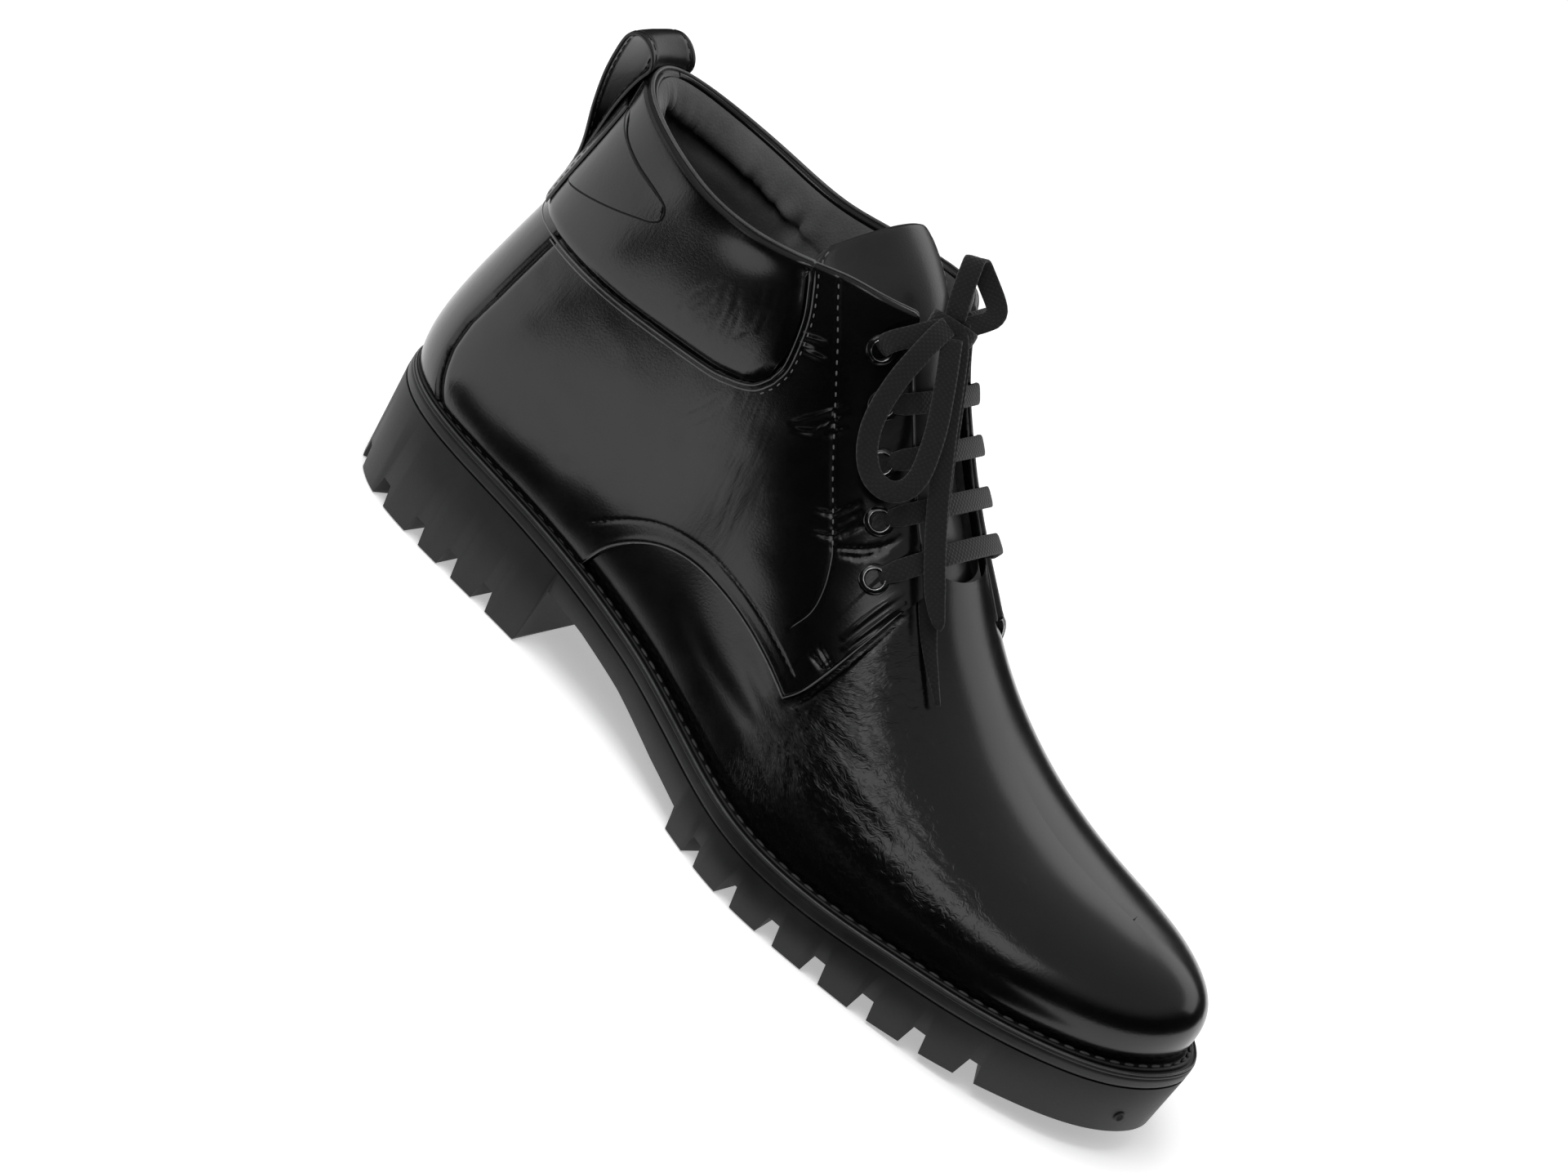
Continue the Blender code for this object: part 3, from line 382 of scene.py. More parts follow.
def addMesh(name, points, faces, finish, flatMap=None):
    mesh = bpy.data.meshes.new(name)
    if isinstance(faces, np.ndarray):
        faces = faces.tolist()
    mesh.from_pydata(place(points).reshape(-1, 3).tolist(), [], faces)
    mesh.validate()
    mesh.materials.append(finish)
    mesh.polygons.foreach_set("use_smooth", [True] * len(mesh.polygons))
    if flatMap is not None:
        layer = mesh.uv_layers.new(name="along")
        corners = np.empty(len(mesh.loops), int)
        mesh.loops.foreach_get("vertex_index", corners)
        layer.data.foreach_set("uv", np.asarray(flatMap, float).reshape(-1, 2)[corners].ravel())
    made = linked(name, mesh)
    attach(made, "root")
    return made


def gridFaces(rows, columns, wrapRows=False, wrapColumns=False, flip=False):
    i, j = np.meshgrid(np.arange(rows if wrapRows else rows - 1),
                       np.arange(columns if wrapColumns else columns - 1), indexing="ij")
    i, j = i.ravel(), j.ravel()
    nextI, nextJ = (i + 1) % rows, (j + 1) % columns
    faces = np.stack((i * columns + j, nextI * columns + j, nextI * columns + nextJ, i * columns + nextJ), axis=1)
    return faces[:, ::-1] if flip else faces


makeCamera()
makeStudio()
print("camera and studio ready")


def lengthAlong(path):
    # how far along a path each of its points lies
    return np.concatenate(([0], np.cumsum(np.linalg.norm(np.diff(path, axis=0), axis=1))))


def readAt(values, gone, spots):
    # each column of values, known at gone, read off at spots
    return np.stack([np.interp(spots, gone, values[:, k]) for k in range(values.shape[1])], axis=1)


def smoothCurve(points, count):
    # evenly spaced points on a smooth curve through the given ones
    points = np.asarray(points, float)
    dense = []
    padded = np.vstack((2 * points[0] - points[1], points, 2 * points[-1] - points[-2]))
    f = np.linspace(0, 1, 12, endpoint=False)[:, None]
    for i in range(len(points) - 1):
        p0, p1, p2, p3 = padded[i:i + 4]
        dense.append(0.5 * (2 * p1 + (p2 - p0) * f + (2 * p0 - 5 * p1 + 4 * p2 - p3) * f**2
                            + (3 * p1 - p0 - 3 * p2 + p3) * f**3))
    dense = np.vstack((*dense, points[-1:]))
    gone = lengthAlong(dense)
    return readAt(dense, gone, np.linspace(0, gone[-1], count))


def unit(vectors):
    return vectors / np.maximum(np.linalg.norm(vectors, axis=-1, keepdims=True), 1e-9)


def fullTurn(count):
    # angles round a full turn, without its end
    return np.linspace(0, 2 * math.pi, count, endpoint=False)


# one row for each step from heel to toe: x, outer edge, inner edge, edge height, undercut, ledge
soleTable = (
    (0.0, 0.0, 0.0, 35.0, 3.0, 4.0), (5.0, -18.5, 18.5, 35.0, 2.6, 4.0), (19.0, -32.0, 32.0, 35.0, 2.0, 4.4),
    (40.0, -37.0, 37.0, 34.2, 1.5, 4.8), (68.0, -37.2, 36.4, 32.7, 1.2, 5.0), (93.0, -37.7, 34.4, 30.4, 1.2, 5.0),
    (110.0, -39.0, 33.8, 28.2, 1.2, 5.0), (124.0, -41.0, 34.2, 26.2, 1.2, 5.0),
    (138.0, -44.5, 35.4, 24.0, 1.2, 5.0), (153.0, -49.0, 37.8, 21.6, 1.2, 5.0),
    (170.0, -54.5, 43.0, 19.6, 1.2, 5.0), (190.0, -58.3, 49.0, 18.8, 1.2, 5.0),
    (214.0, -56.4, 52.8, 19.2, 1.4, 5.0), (238.0, -51.6, 52.5, 21.4, 1.6, 5.0),
    (261.0, -45.4, 48.8, 23.6, 1.8, 5.0), (282.0, -35.2, 40.4, 25.8, 1.6, 5.0),
    (300.0, -19.5, 24.0, 28.4, 1.0, 5.0), (308.0, 3.0, 3.0, 30.4, 0.8, 5.0),
)
# the same rows: facing, top x, top middle, top half width, top z, foot out, foot up, top out, top drop
upperTable = (
    (180, 14.5, 0.0, 0.0, 144.0, 8.6, 18.0, -3.2, 40.0), (150, 18.0, 0.6, 10.9, 142.5, 8.6, 19.0, -2.5, 38.0),
    (122, 28.0, 1.8, 20.0, 140.0, 8.2, 21.0, 0.0, 36.0), (98, 46.0, 2.6, 27.2, 137.5, 7.5, 24.0, 1.5, 35.0),
    (90, 69.0, 2.8, 30.5, 136.8, 7.5, 26.0, 2.0, 35.0), (90, 93.0, 2.8, 31.3, 141.8, 7.5, 28.0, 4.0, 34.0),
    (90, 107.0, 2.0, 28.4, 146.0, 7.5, 30.0, 9.0, 32.0), (90, 121.0, 1.0, 21.0, 147.5, 6.0, 33.0, 14.0, 24.0),
    (90, 135.0, 0.0, 0.0, 141.0, 4.0, 36.0, 32.0, 5.0), (90, 152.5, 0.0, 0.0, 119.5, 3.0, 36.0, 31.0, 2.0),
    (90, 172.0, 0.0, 0.0, 99.0, 3.5, 30.0, 32.0, 0.0), (90, 191.0, 0.0, 0.0, 81.0, 4.5, 26.0, 34.0, 0.0),
    (90, 213.0, 0.0, 0.0, 65.8, 5.0, 22.5, 35.0, 0.0), (84, 234.0, 1.0, 0.0, 56.6, 5.5, 19.0, 34.0, 0.0),
    (74, 251.0, 2.0, 0.0, 53.4, 5.5, 17.5, 32.0, 0.0), (56, 262.0, 2.5, 0.0, 52.8, 5.0, 17.5, 29.0, 0.0),
    (28, 268.0, 3.0, 0.0, 52.6, 4.0, 18.0, 27.0, 0.0), (0, 270.0, 3.0, 0.0, 52.6, 3.0, 18.5, 26.0, 0.0),
)
toeRow = len(soleTable) - 1
loopRows = 2 * toeRow
wall, panelLift, cuffLift, skinGap = 2.2, 1.8, 2.3, 0.3  # the upper's wall, the panels' heights, and a small gap
# the lacing's opening: its last full row and the rows that round it off, its half width and how much that grows
opening = {"row": 9.5, "round": 0.75, "half": 15, "grows": 4, "growsFrom": 7, "starts": 5}


def closedLoop():
    # all sections in one closed loop: along the outer side to the toe, and back on the inner
    rows = []
    for number in range(loopRows):
        outer = number <= toeRow
        row = number if outer else loopRows - number
        x, outerY, innerY, edge, undercut, ledge = soleTable[row]
        facing, topX, topMiddle, topHalf, topZ, footOut, footUp, topOut, topDrop = upperTable[row]
        side = -1 if outer else 1
        face = math.radians(facing)
        rows.append((x, outerY if outer else innerY, edge, undercut, ledge, math.cos(face), side * math.sin(face),
                     topX, topMiddle + side * topHalf, topZ, footOut, footUp, topOut, topDrop))
    return np.array(rows)


loop = closedLoop()
neighbours = np.roll(np.eye(loopRows), 1, axis=0) + np.roll(np.eye(loopRows), -1, axis=0)
bends = np.linalg.solve(4 * np.eye(loopRows) + neighbours,
                        6 * (np.roll(loop, -1, axis=0) - 2 * loop + np.roll(loop, 1, axis=0)))


def section(t):
    # the tables' values at row t of the loop, on a smooth closed curve through the rows
    t = np.asarray(t, float)
    first = np.floor(t).astype(int) % loopRows
    second = (first + 1) % loopRows
    f = (t - np.floor(t))[..., None]
    bend = ((1 - f) ** 3 - (1 - f)) * bends[first] + (f**3 - f) * bends[second]
    return (1 - f) * loop[first] + f * loop[second] + bend / 6


def acrossOf(t):
    # rows from the heel, the same on both sides
    return np.minimum(t % loopRows, -t % loopRows)


def edgePoint(t, inset, z):
    # a point level with z, this far inside the sole's top edge
    here = section(t)[..., :2]
    along = section(np.asarray(t) + 0.01)[..., :2] - section(np.asarray(t) - 0.01)[..., :2]
    inward = np.stack((-along[..., 1], along[..., 0]), axis=-1)
    inward /= np.linalg.norm(inward, axis=-1, keepdims=True)
    flat = here + inward * np.asarray(inset, float)[..., None]
    return np.concatenate((flat, np.broadcast_to(np.asarray(z, float)[..., None], flat.shape[:-1] + (1,))), axis=-1)


def plainSurface(t, v):
    row = section(t)
    face = row[..., 5:7] / np.linalg.norm(row[..., 5:7], axis=-1, keepdims=True)
    out = np.concatenate((face, np.zeros(face.shape[:-1] + (1,))), axis=-1)
    up = np.array((0.0, 0.0, 1.0))
    foot = edgePoint(t, row[..., 4], row[..., 2] + skinGap)
    top = row[..., 7:10].copy()
    # both sides share one crest from the lacing's foot to the toe
    top = np.where((acrossOf(t) >= 9.6)[..., None], (top + section(-t)[..., 7:10]) / 2, top)
    first = foot + out * row[..., 10:11] + up * row[..., 11:12]
    second = top + out * row[..., 12:13] - up * row[..., 13:14]
    w = v[..., None]
    return (1 - w) ** 3 * foot + 3 * (1 - w) ** 2 * w * first + 3 * (1 - w) * w**2 * second + w**3 * top


def surfaceNormal(t, v):
    t, v = np.broadcast_arrays(np.asarray(t, float), np.asarray(v, float))
    along = plainSurface(t + 0.01, v) - plainSurface(t - 0.01, v)
    upward = plainSurface(t, np.minimum(v + 0.01, 1)) - plainSurface(t, v - 0.01)
    return unit(np.cross(along, upward))


def surface(t, v, lift=0.0):
    # the upper's outer face: row t round the foot, v from its foot (0) to its top (1), lifted off it
    t, v = np.broadcast_arrays(np.asarray(t, float), np.asarray(v, float))
    point = plainSurface(t, v)
    if np.any(lift):
        point = point + surfaceNormal(t, v) * np.asarray(lift, float)[..., None]
    return point


def reach(rows, rounded=True):
    # how far up each column the leather goes: to its top, or to the edge of the lacing's opening
    rows = np.atleast_1d(np.asarray(rows, float))
    across = acrossOf(rows)
    grown = np.interp(across, (opening["growsFrom"], opening["row"]), (0.0, 1.0))
    turn = np.clip((across - opening["row"]) / opening["round"], 0, 1) if rounded else 0 * across
    half = (opening["half"] + opening["grows"] * grown) * np.sqrt(1 - turn**2)
    levels = np.linspace(1, 0.3, 200)
    wide = np.abs(surface(rows[:, None], levels[None, :])[..., 1])
    top = np.array([np.interp(h, w, levels) for h, w in zip(half, wide)])
    free = across < opening["starts"]
    if rounded:
        free = free | (across > opening["row"] + opening["round"])
    return np.where(free, 1.0, top)


def openingRows(count):
    # rows that close up where the opening's foot rounds off
    return opening["row"] + opening["round"] * np.sin(np.linspace(0, math.pi / 2, count))


def rowsAndLevels(points, side):
    # the rows and levels that are seen at these x and z from one side (-1 outer, 1 inner)
    points = np.atleast_2d(np.asarray(points, float))[:, :2]
    rows, levels = np.meshgrid(np.linspace(1.2, 14.5, 200), np.linspace(0.0, 1, 110), indexing="ij")
    rows = rows if side < 0 else loopRows - rows
    seen = surface(rows, levels)[..., (0, 2)].reshape(-1, 2)
    near = np.array([np.argmin(((seen - point) ** 2).sum(axis=1)) for point in points])
    t, v = rows.ravel()[near], levels.ravel()[near]
    for _ in range(6):
        miss = points - surface(t, v)[:, (0, 2)]
        alongT = (surface(t + 0.005, v) - surface(t - 0.005, v))[:, (0, 2)] / 0.01
        alongV = (surface(t, v + 0.002) - surface(t, v - 0.002))[:, (0, 2)] / 0.004
        det = alongT[:, 0] * alongV[:, 1] - alongT[:, 1] * alongV[:, 0]
        det = np.where(np.abs(det) < 1e-6, 1e-6, det)
        t = t + np.clip((miss[:, 0] * alongV[:, 1] - miss[:, 1] * alongV[:, 0]) / det, -0.2, 0.2)
        climb = np.clip((alongT[:, 0] * miss[:, 1] - alongT[:, 1] * miss[:, 0]) / det, -0.03, 0.03)
        v = np.clip(v + climb, 0, 1)
    return t, v


def levelAtHeight(t, z):
    # the level at which each row reaches a height
    levels = np.linspace(0, 1, 240)
    return np.array([np.interp(height, surface(row, levels)[:, 2], levels)
                     for row, height in zip(np.atleast_1d(t), np.broadcast_to(z, np.shape(np.atleast_1d(t))))])


def distanceTo(points, line):
    # the shortest distance from each point to a chain of points
    points = np.asarray(points, float)
    best = np.full(points.shape[:-1], 1e9)
    for a, b in zip(line[:-1], line[1:]):
        along = b - a
        share = np.clip(((points - a) @ along) / max(along @ along, 1e-12), 0, 1)
        gap = points - a - share[..., None] * along
        best = np.minimum(best, np.einsum("...k,...k", gap, gap))
    return np.sqrt(best)


def sideLine(corners, side, count=None):
    # a smooth line over the upper through these x and z, with its rows and levels
    corners = np.asarray(corners, float)
    length = np.linalg.norm(np.diff(corners, axis=0), axis=1).sum()
    t, v = rowsAndLevels(smoothCurve(corners, count or max(6, int(length / 1.2))), side)
    return surface(t, v), t, v


eyeletLine = ((124.0, 136.4), (163.4, 88.3))  # x and z of the first and the last eyelet of each row


def eyeletSpot(side, pair):
    # the centre of an eyelet on the upper, with the way that it faces
    share = (pair - 1) / 4
    first, last = np.array(eyeletLine)
    t, v = rowsAndLevels([(1 - share) * first + share * last], side)
    return surface(t, v)[0], surfaceNormal(t, v)[0]


eyelets = {(side, pair): eyeletSpot(side, pair) for side in (-1, 1) for pair in range(1, 6)}
seen = viewAxes()
laceLook = {"width": 6.0, "thick": 1.3, "tip": 2.6, "corners": 20}


def softened(values, times):
    for _ in range(times):
        middle = (values[:-2] + 2 * values[1:-1] + values[2:]) / 4
        values = np.concatenate((values[:1], middle, values[-1:]))
    return values


def alongFully(values, count):
    # the same values at each of count points
    return np.repeat(np.asarray(values, float)[None], count, axis=0)


def flatLace(name, path, aside, widths, roundTip=False):
    # a flat braided lace along a path, its width lying along aside
    count, corners = len(path), laceLook["corners"]
    along = unit(np.gradient(path, axis=0))
    aside = unit(aside - (aside * along).sum(axis=1, keepdims=True) * along)
    face = np.cross(aside, along)
    gone = lengthAlong(path)
    half = np.asarray(widths) / 2
    thick = np.full(count, laceLook["thick"] / 2)
    if roundTip:
        bow = np.clip((gone[-1] - gone) / laceLook["tip"], 0, 1)
        half = half * np.sqrt(np.maximum(1 - (1 - bow) ** 2, 0.01))
        thick = thick * (0.55 + 0.45 * bow)
    cosine, sine = np.cos(fullTurn(corners)), np.sin(fullTurn(corners))
    wide = np.sign(cosine) * np.abs(cosine) ** 0.55
    deep = np.sign(sine) * np.abs(sine) ** 0.8
    points = (path[:, None] + aside[:, None] * (half[:, None] * wide)[..., None]
              + face[:, None] * (thick[:, None] * deep)[..., None])
    faces = gridFaces(count, corners, wrapColumns=True).tolist()
    faces += [tuple(range(corners)), tuple((count - 1) * corners + n for n in reversed(range(corners)))]
    scale = laceLook["width"]
    flatMap = np.stack(np.broadcast_arrays(gone[:, None] / scale, (half[:, None] * wide) / scale), axis=-1)
    return addMesh(name, points, faces, laceCloth, flatMap=flatMap), gone[-1]


# the straight bars over the tongue: points along each, rise off the eyelets, bow, half width of the flat
# middle, and how the ends dip into their eyelets and narrow there
barLook = {"points": 90, "rise": 3.85, "bow": 0.0185, "flat": 16, "dipLength": 4.4, "dipDepth": 5.2, "narrow": 0.24,
           "tilt": 0.05}


def barPath(pair):
    (outer, outerFace), (inner, innerFace) = eyelets[-1, pair], eyelets[1, pair]
    middle = unit(outerFace + innerFace)
    start, stop = outer + outerFace * barLook["rise"], inner + innerFace * barLook["rise"]
    half = np.linalg.norm(stop - start) / 2
    f = np.linspace(0, 1, barLook["points"])
    y = (2 * f - 1) * half
    edge = np.maximum(y * y, barLook["flat"] ** 2)
    height = barLook["bow"] * (half**2 - edge + (edge - y * y) / 3)
    lean = unit((1 - f)[:, None] * outerFace + f[:, None] * innerFace)
    path = (1 - f)[:, None] * start + f[:, None] * stop + middle * height[:, None] + lean * 0.5
    dip = np.clip(1 - (half - np.abs(y)) / barLook["dipLength"], 0, 1)
    path = path - lean * (barLook["dipDepth"] * dip**2)[:, None]
    side = -np.cross(middle, (0.0, 1.0, 0.0))
    widths = laceLook["width"] * (1 - barLook["narrow"] * np.clip(dip * 1.6, 0, 1))
    return softened(path, 3), alongFully(side, barLook["points"]), widths


def buildBars():
    for pair in range(2, 6):
        path, aside, widths = barPath(pair)
        tilt = barLook["tilt"] * math.sin(pair * 2.3) * np.linspace(-1, 1, barLook["points"])
        made, _ = flatLace(f"laceBar{pair}", path, aside + tilt[:, None] * np.array((1.0, 0.0, 1.0)), widths)
        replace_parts(made, f"lace_bar_{pair}")


# the route of the middle of each stretch of free lace
laceRoutes = {
    "lace_strand_outer": ((124.7, -22.3, 134.8), (125.1, -24.7, 138.3), (126.8, -24.8, 141.7), (128.9, -22, 144.6),
                          (130.7, -18, 147.2), (132, -13.3, 149), (133, -9, 150)),
    "lace_strand_inner": ((122.4, 27, 135), (124, 27.6, 139.4), (126.6, 25, 143.4), (129.6, 19, 147.6),
                          (132, 11.6, 150.6), (133.4, 4.6, 151.8), (133.8, -2, 151.6)),
    "lace_loop_hanging": ((132.8, -12.4, 150.6), (133.8, -17.9, 148.6), (134.8, -23.4, 143.7),
                          (135.6, -28.1, 136.2), (137, -31.2, 128.2), (139.1, -32.8, 121.5), (142.6, -33.6, 115.9),
                          (147, -33.7, 112.4), (151.2, -33.3, 111.6), (154.5, -31.9, 112.5), (156.5, -29.7, 115.4),
                          (156.1, -27.4, 120), (153.7, -25.1, 125.5), (150.4, -22.6, 131.3), (146.1, -20.2, 137.6),
                          (141.6, -17.7, 143.6), (136.6, -14.6, 149.4)),
    "lace_loop_upper": ((132.5, -10.2, 151.8), (131.1, -9.4, 154.6), (129.2, -8.2, 158), (127.4, -6.7, 161.6),
                        (125.7, -4.9, 164.6), (124.4, -2.8, 166), (123.8, -0.5, 165.9), (124.5, 1.6, 164.9),
                        (127, 2.9, 162.8), (130.6, 3.6, 160.5), (133.9, 3.7, 158.6), (136.2, 2.9, 157.1),
                        (137, 1.1, 155.3), (136.3, -1.2, 153.6), (134.9, -3.5, 151.7), (133.4, -5.9, 150.1)),
    "lace_end_outer": ((135.4, -11.4, 150.4), (138.4, -12.2, 148), (141.8, -13.3, 143.4), (146.2, -14.8, 137),
                       (151, -16.4, 129.7), (156.1, -18.1, 122.6), (161.2, -19.9, 115.5), (166.6, -21.5, 108.7),
                       (172.3, -23.2, 102.1), (176.7, -24.3, 97.3), (181.5, -25.2, 92.7), (186.3, -25.8, 89.1)),
    "lace_end_inner": ((134.4, -7.4, 149.6), (137.4, -8, 147), (141.3, -8.6, 141), (145.9, -9.6, 133.4),
                       (150.7, -10.9, 125.9), (155.6, -12.7, 118.6), (161.5, -14.8, 110.7), (167.5, -17.1, 102.9),
                       (173.5, -19.3, 95.1), (178.3, -21, 89.2), (183.5, -22.4, 83.7), (188.6, -23.6, 79.4),
                       (193.4, -24.6, 75.8), (198.1, -25.7, 72.4)),
}
# where a stretch narrows: shares of its length, and its widths there
laceWidths = {"lace_strand_outer": ((0, 0.2, 0.8, 1), (4.6, 6, 6, 5)),
              "lace_end_outer": ((0, 0.86, 0.94, 1), (6, 6, 4.6, 2.6)),
              "lace_end_inner": ((0, 0.72, 0.9, 1), (6, 6, 3.4, 1.5))}
laceTwists = {"lace_strand_outer": 10, "lace_strand_inner": 30}  # degrees, at the start
# what the far end of each free stretch is
freeLaces = {"lace_loop_hanging": "object", "lace_loop_upper": "object", "lace_end_outer": "bare",
             "lace_end_inner": "bare"}


def faceViewer(path, turn):
    # the width direction that shows a lace's flat side from the front quarter, turned by some degrees
    along = unit(np.gradient(path, axis=0))
    aside = unit(np.cross(along, seen[2]))
    angle = np.radians(turn)[:, None]
    return softened(aside * np.cos(angle) + np.cross(aside, along) * np.sin(angle), 6)


def buildLaces():
    pieces = {}
    for name, corners in laceRoutes.items():
        rough = np.array(corners)
        count = int(lengthAlong(rough)[-1] / 1.1)
        path = smoothCurve(rough, count)
        if name == "lace_loop_upper":
            # it folds flat over its top, and its width keeps level all round
            aside = alongFully(seen[0] * 0.96 - seen[1] * 0.28, count)
        elif name in laceTwists:
            aside = faceViewer(path, np.linspace(laceTwists[name], 0, count))
        else:
            aside = faceViewer(path, 8 * np.sin(np.linspace(0, 5, count)))
        widths = np.interp(np.linspace(0, 1, count), *laceWidths.get(name, ((0, 1), (laceLook["width"],) * 2)))
        camel = "".join(part.title() if n else part for n, part in enumerate(name.split("_")))
        made, length = flatLace(camel, path, aside, widths, roundTip=name == "lace_end_outer")
        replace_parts(made, name)
        pieces[name] = (made, path, length)
    for name, farEnd in freeLaces.items():
        made, path, length = pieces[name]


# the knot's middle, its wrap's half width, half depth and height, and the tucked fold's half length and width
knotLook = {"middle": (132.9, -9.0, 149.4), "wide": 6.4, "deep": 3.7, "tall": 4.6, "fold": 3.6, "foldWide": 8.4}


def buildKnot():
    # the wrap of the bow: one turn of lace round the others, and the tucked fold behind it
    across, upward, _ = seen
    lean = unit(upward * 0.84 + across * 0.54)
    level = unit(across - (across @ lean) * lean)
    depth = np.cross(level, lean)
    turns = fullTurn(72)
    ring = (knotLook["middle"] + np.outer(np.cos(turns) * knotLook["wide"], level)
            + np.outer(np.sin(turns) * knotLook["deep"], depth))
    ring = np.vstack((ring, ring[:1]))
    made, _ = flatLace("laceKnot", ring, alongFully(lean, len(ring)), np.full(len(ring), knotLook["tall"]))
    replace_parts(made, "lace_knot")
    core = knotLook["middle"] + np.outer(np.linspace(-knotLook["fold"], knotLook["fold"], 14), lean)
    widths = knotLook["foldWide"] * np.sqrt(1 - np.linspace(-0.9, 0.9, 14) ** 4 * 0.5)
    flatLace("laceKnotFill", core, alongFully(level, 14), widths)


buildBars()
buildLaces()
buildKnot()
print("laces tied")


def columnShares(length, count):
    # shares of a column: close together near both ends, then even
    edge = np.array((0, 0.18, 0.42, 0.75, 1.15, 1.6, 2.3))
    edge = edge * min(1.0, length * 0.4 / edge[-1])
    middle = np.linspace(edge[-1], length - edge[-1], count - 2 * len(edge) + 2)
    return np.concatenate((edge[:-1], middle, (length - edge[:-1])[::-1])) / max(length, 1e-6)


def softNoise(a, b, seed=0.0):
    # smooth values over a plane that look random and are the same at each run
    def corner(i, j):
        wild = np.sin(i * 127.1 + j * 311.7 + seed * 74.7) * 43758.5453
        return wild - np.floor(wild)

    i, j = np.floor(a), np.floor(b)
    f, g = a - i, b - j
    f, g = f * f * (3 - 2 * f), g * g * (3 - 2 * g)
    low = corner(i, j) * (1 - f) + corner(i + 1, j) * f
    high = corner(i, j + 1) * (1 - f) + corner(i + 1, j + 1) * f
    return low * (1 - g) + high * g - 0.5


def strokeField(points, strokes):
    # soft troughs (depth above 0) and ridges (below 0) along lines over the leather
    height = np.zeros(points.shape[:-1])
    for line, depth, width in strokes:
        far = np.linalg.norm(points - line.mean(axis=0), axis=-1)
        near = far < np.linalg.norm(line - line.mean(axis=0), axis=1).max() + 3.5 * width
        if near.any():
            away = distanceTo(points[near], line)
            ends = np.minimum(np.linalg.norm(points[near] - line[0], axis=-1),
                              np.linalg.norm(points[near] - line[-1], axis=-1))
            span = np.linalg.norm(line[-1] - line[0])
            fade = 0.35 + 0.65 * np.clip(ends / max(0.25 * span, 0.5), 0, 1)
            height[near] -= depth * fade * np.exp(-(away / width) ** 2)
    return height


crowns = {}  # the tops of the rolled edges, where their piping lies
rollLook = {"reach": 1.5, "steps": 9}


def rolledEdge(name, flat, normal, height):
    # the top of a panel turned over towards the lining
    rim, out = flat[:, -1], normal[:, -1]
    aside = unit(np.cross(np.gradient(rim, axis=0), out))
    aside *= np.sign(((rim - flat[:, -3]) * aside).sum(axis=1, keepdims=True))
    middle, half = (height[:, -1] - wall) / 2, (height[:, -1] + wall) / 2
    turns = np.linspace(0, math.pi, rollLook["steps"])[1:]
    arc = (rim[:, None] + out[:, None] * (middle[:, None] + half[:, None] * np.cos(turns))[..., None]
           + aside[:, None] * (rollLook["reach"] * np.sin(turns))[None, :, None])
    crowns[name] = (arc[:, 3], unit(aside + out))
    return arc


def leatherPatch(name, rows, low, high, edges, look, form, finish=None, strokes=(), grooves=(), roll=False, widen=None):
    # a sheet of leather on the upper between two levels of each row: its edges come down rounded to the leather
    # beneath, grooves and strokes sink in, form shapes the rest, and roll turns the top over towards the lining
    rows, columns, rounding = np.asarray(rows, float), look["columns"], look["rounding"]
    low, high = np.broadcast_to(low, rows.shape), np.broadcast_to(high, rows.shape)
    levels = []
    for t, bottom, top in zip(rows, low, high):
        ends = surface(np.array((t, t)), np.array((bottom, top)))
        length = max(np.linalg.norm(ends[1] - ends[0]), 0.02)
        levels.append(bottom + (top - bottom) * columnShares(length, columns))
    levels = np.array(levels)
    grid = np.repeat(rows[:, None], columns, axis=1)
    if widen is not None:
        grid = grid * widen(levels)
    flat = surface(grid, levels)
    normal = surfaceNormal(grid, levels)
    away = np.full(grid.shape, 1e3)
    for edge in edges:
        away = np.minimum(away, distanceTo(flat, edge))
    inside = np.clip(away, 0, rounding)
    height = look["lift"] - rounding + np.sqrt(np.maximum(rounding**2 - (rounding - inside) ** 2, 0))
    height += look.get("bead", 0.0) * np.exp(-((away - 1.3) / 0.8) ** 2)
    for line, depth, width in grooves:
        height -= depth * np.exp(-(distanceTo(flat, line) / width) ** 2)
    height += strokeField(flat, strokes)
    height = form(flat, grid, levels, away, height)
    points = flat + normal * height[..., None]
    if roll:
        points = np.concatenate((points, rolledEdge(name, flat, normal, height)), axis=1)
    return addMesh(name, points, gridFaces(*points.shape[:2]), finish or blackLeather)


def seamCord(name, line, normals, radius, lift, finish, flatten=1.0):
    # a round bead or piping along a line over the leather
    aside = np.cross(normals, unit(np.gradient(line, axis=0)))
    turns = fullTurn(10)
    taper = np.clip(np.minimum(np.arange(len(line)), np.arange(len(line))[::-1]) / 3, 0.15, 1)[:, None]
    lift = np.broadcast_to(lift, len(line))[:, None]
    points = (line[:, None] + normals[:, None] * (lift + radius * flatten * np.sin(turns) * taper)[..., None]
              + aside[:, None] * (radius * np.cos(turns) * taper)[..., None])
    return addMesh(name, points, gridFaces(len(line), 10, wrapColumns=True), finish)


# one stitch from end to end: where its rings lie, and how thick they are
stitchShape = {"rings": (-1, -0.82, -0.4, 0.4, 0.82, 1.0), "thick": (0.12, 0.75, 1.0, 1.0, 0.75, 0.12), "corners": 8}


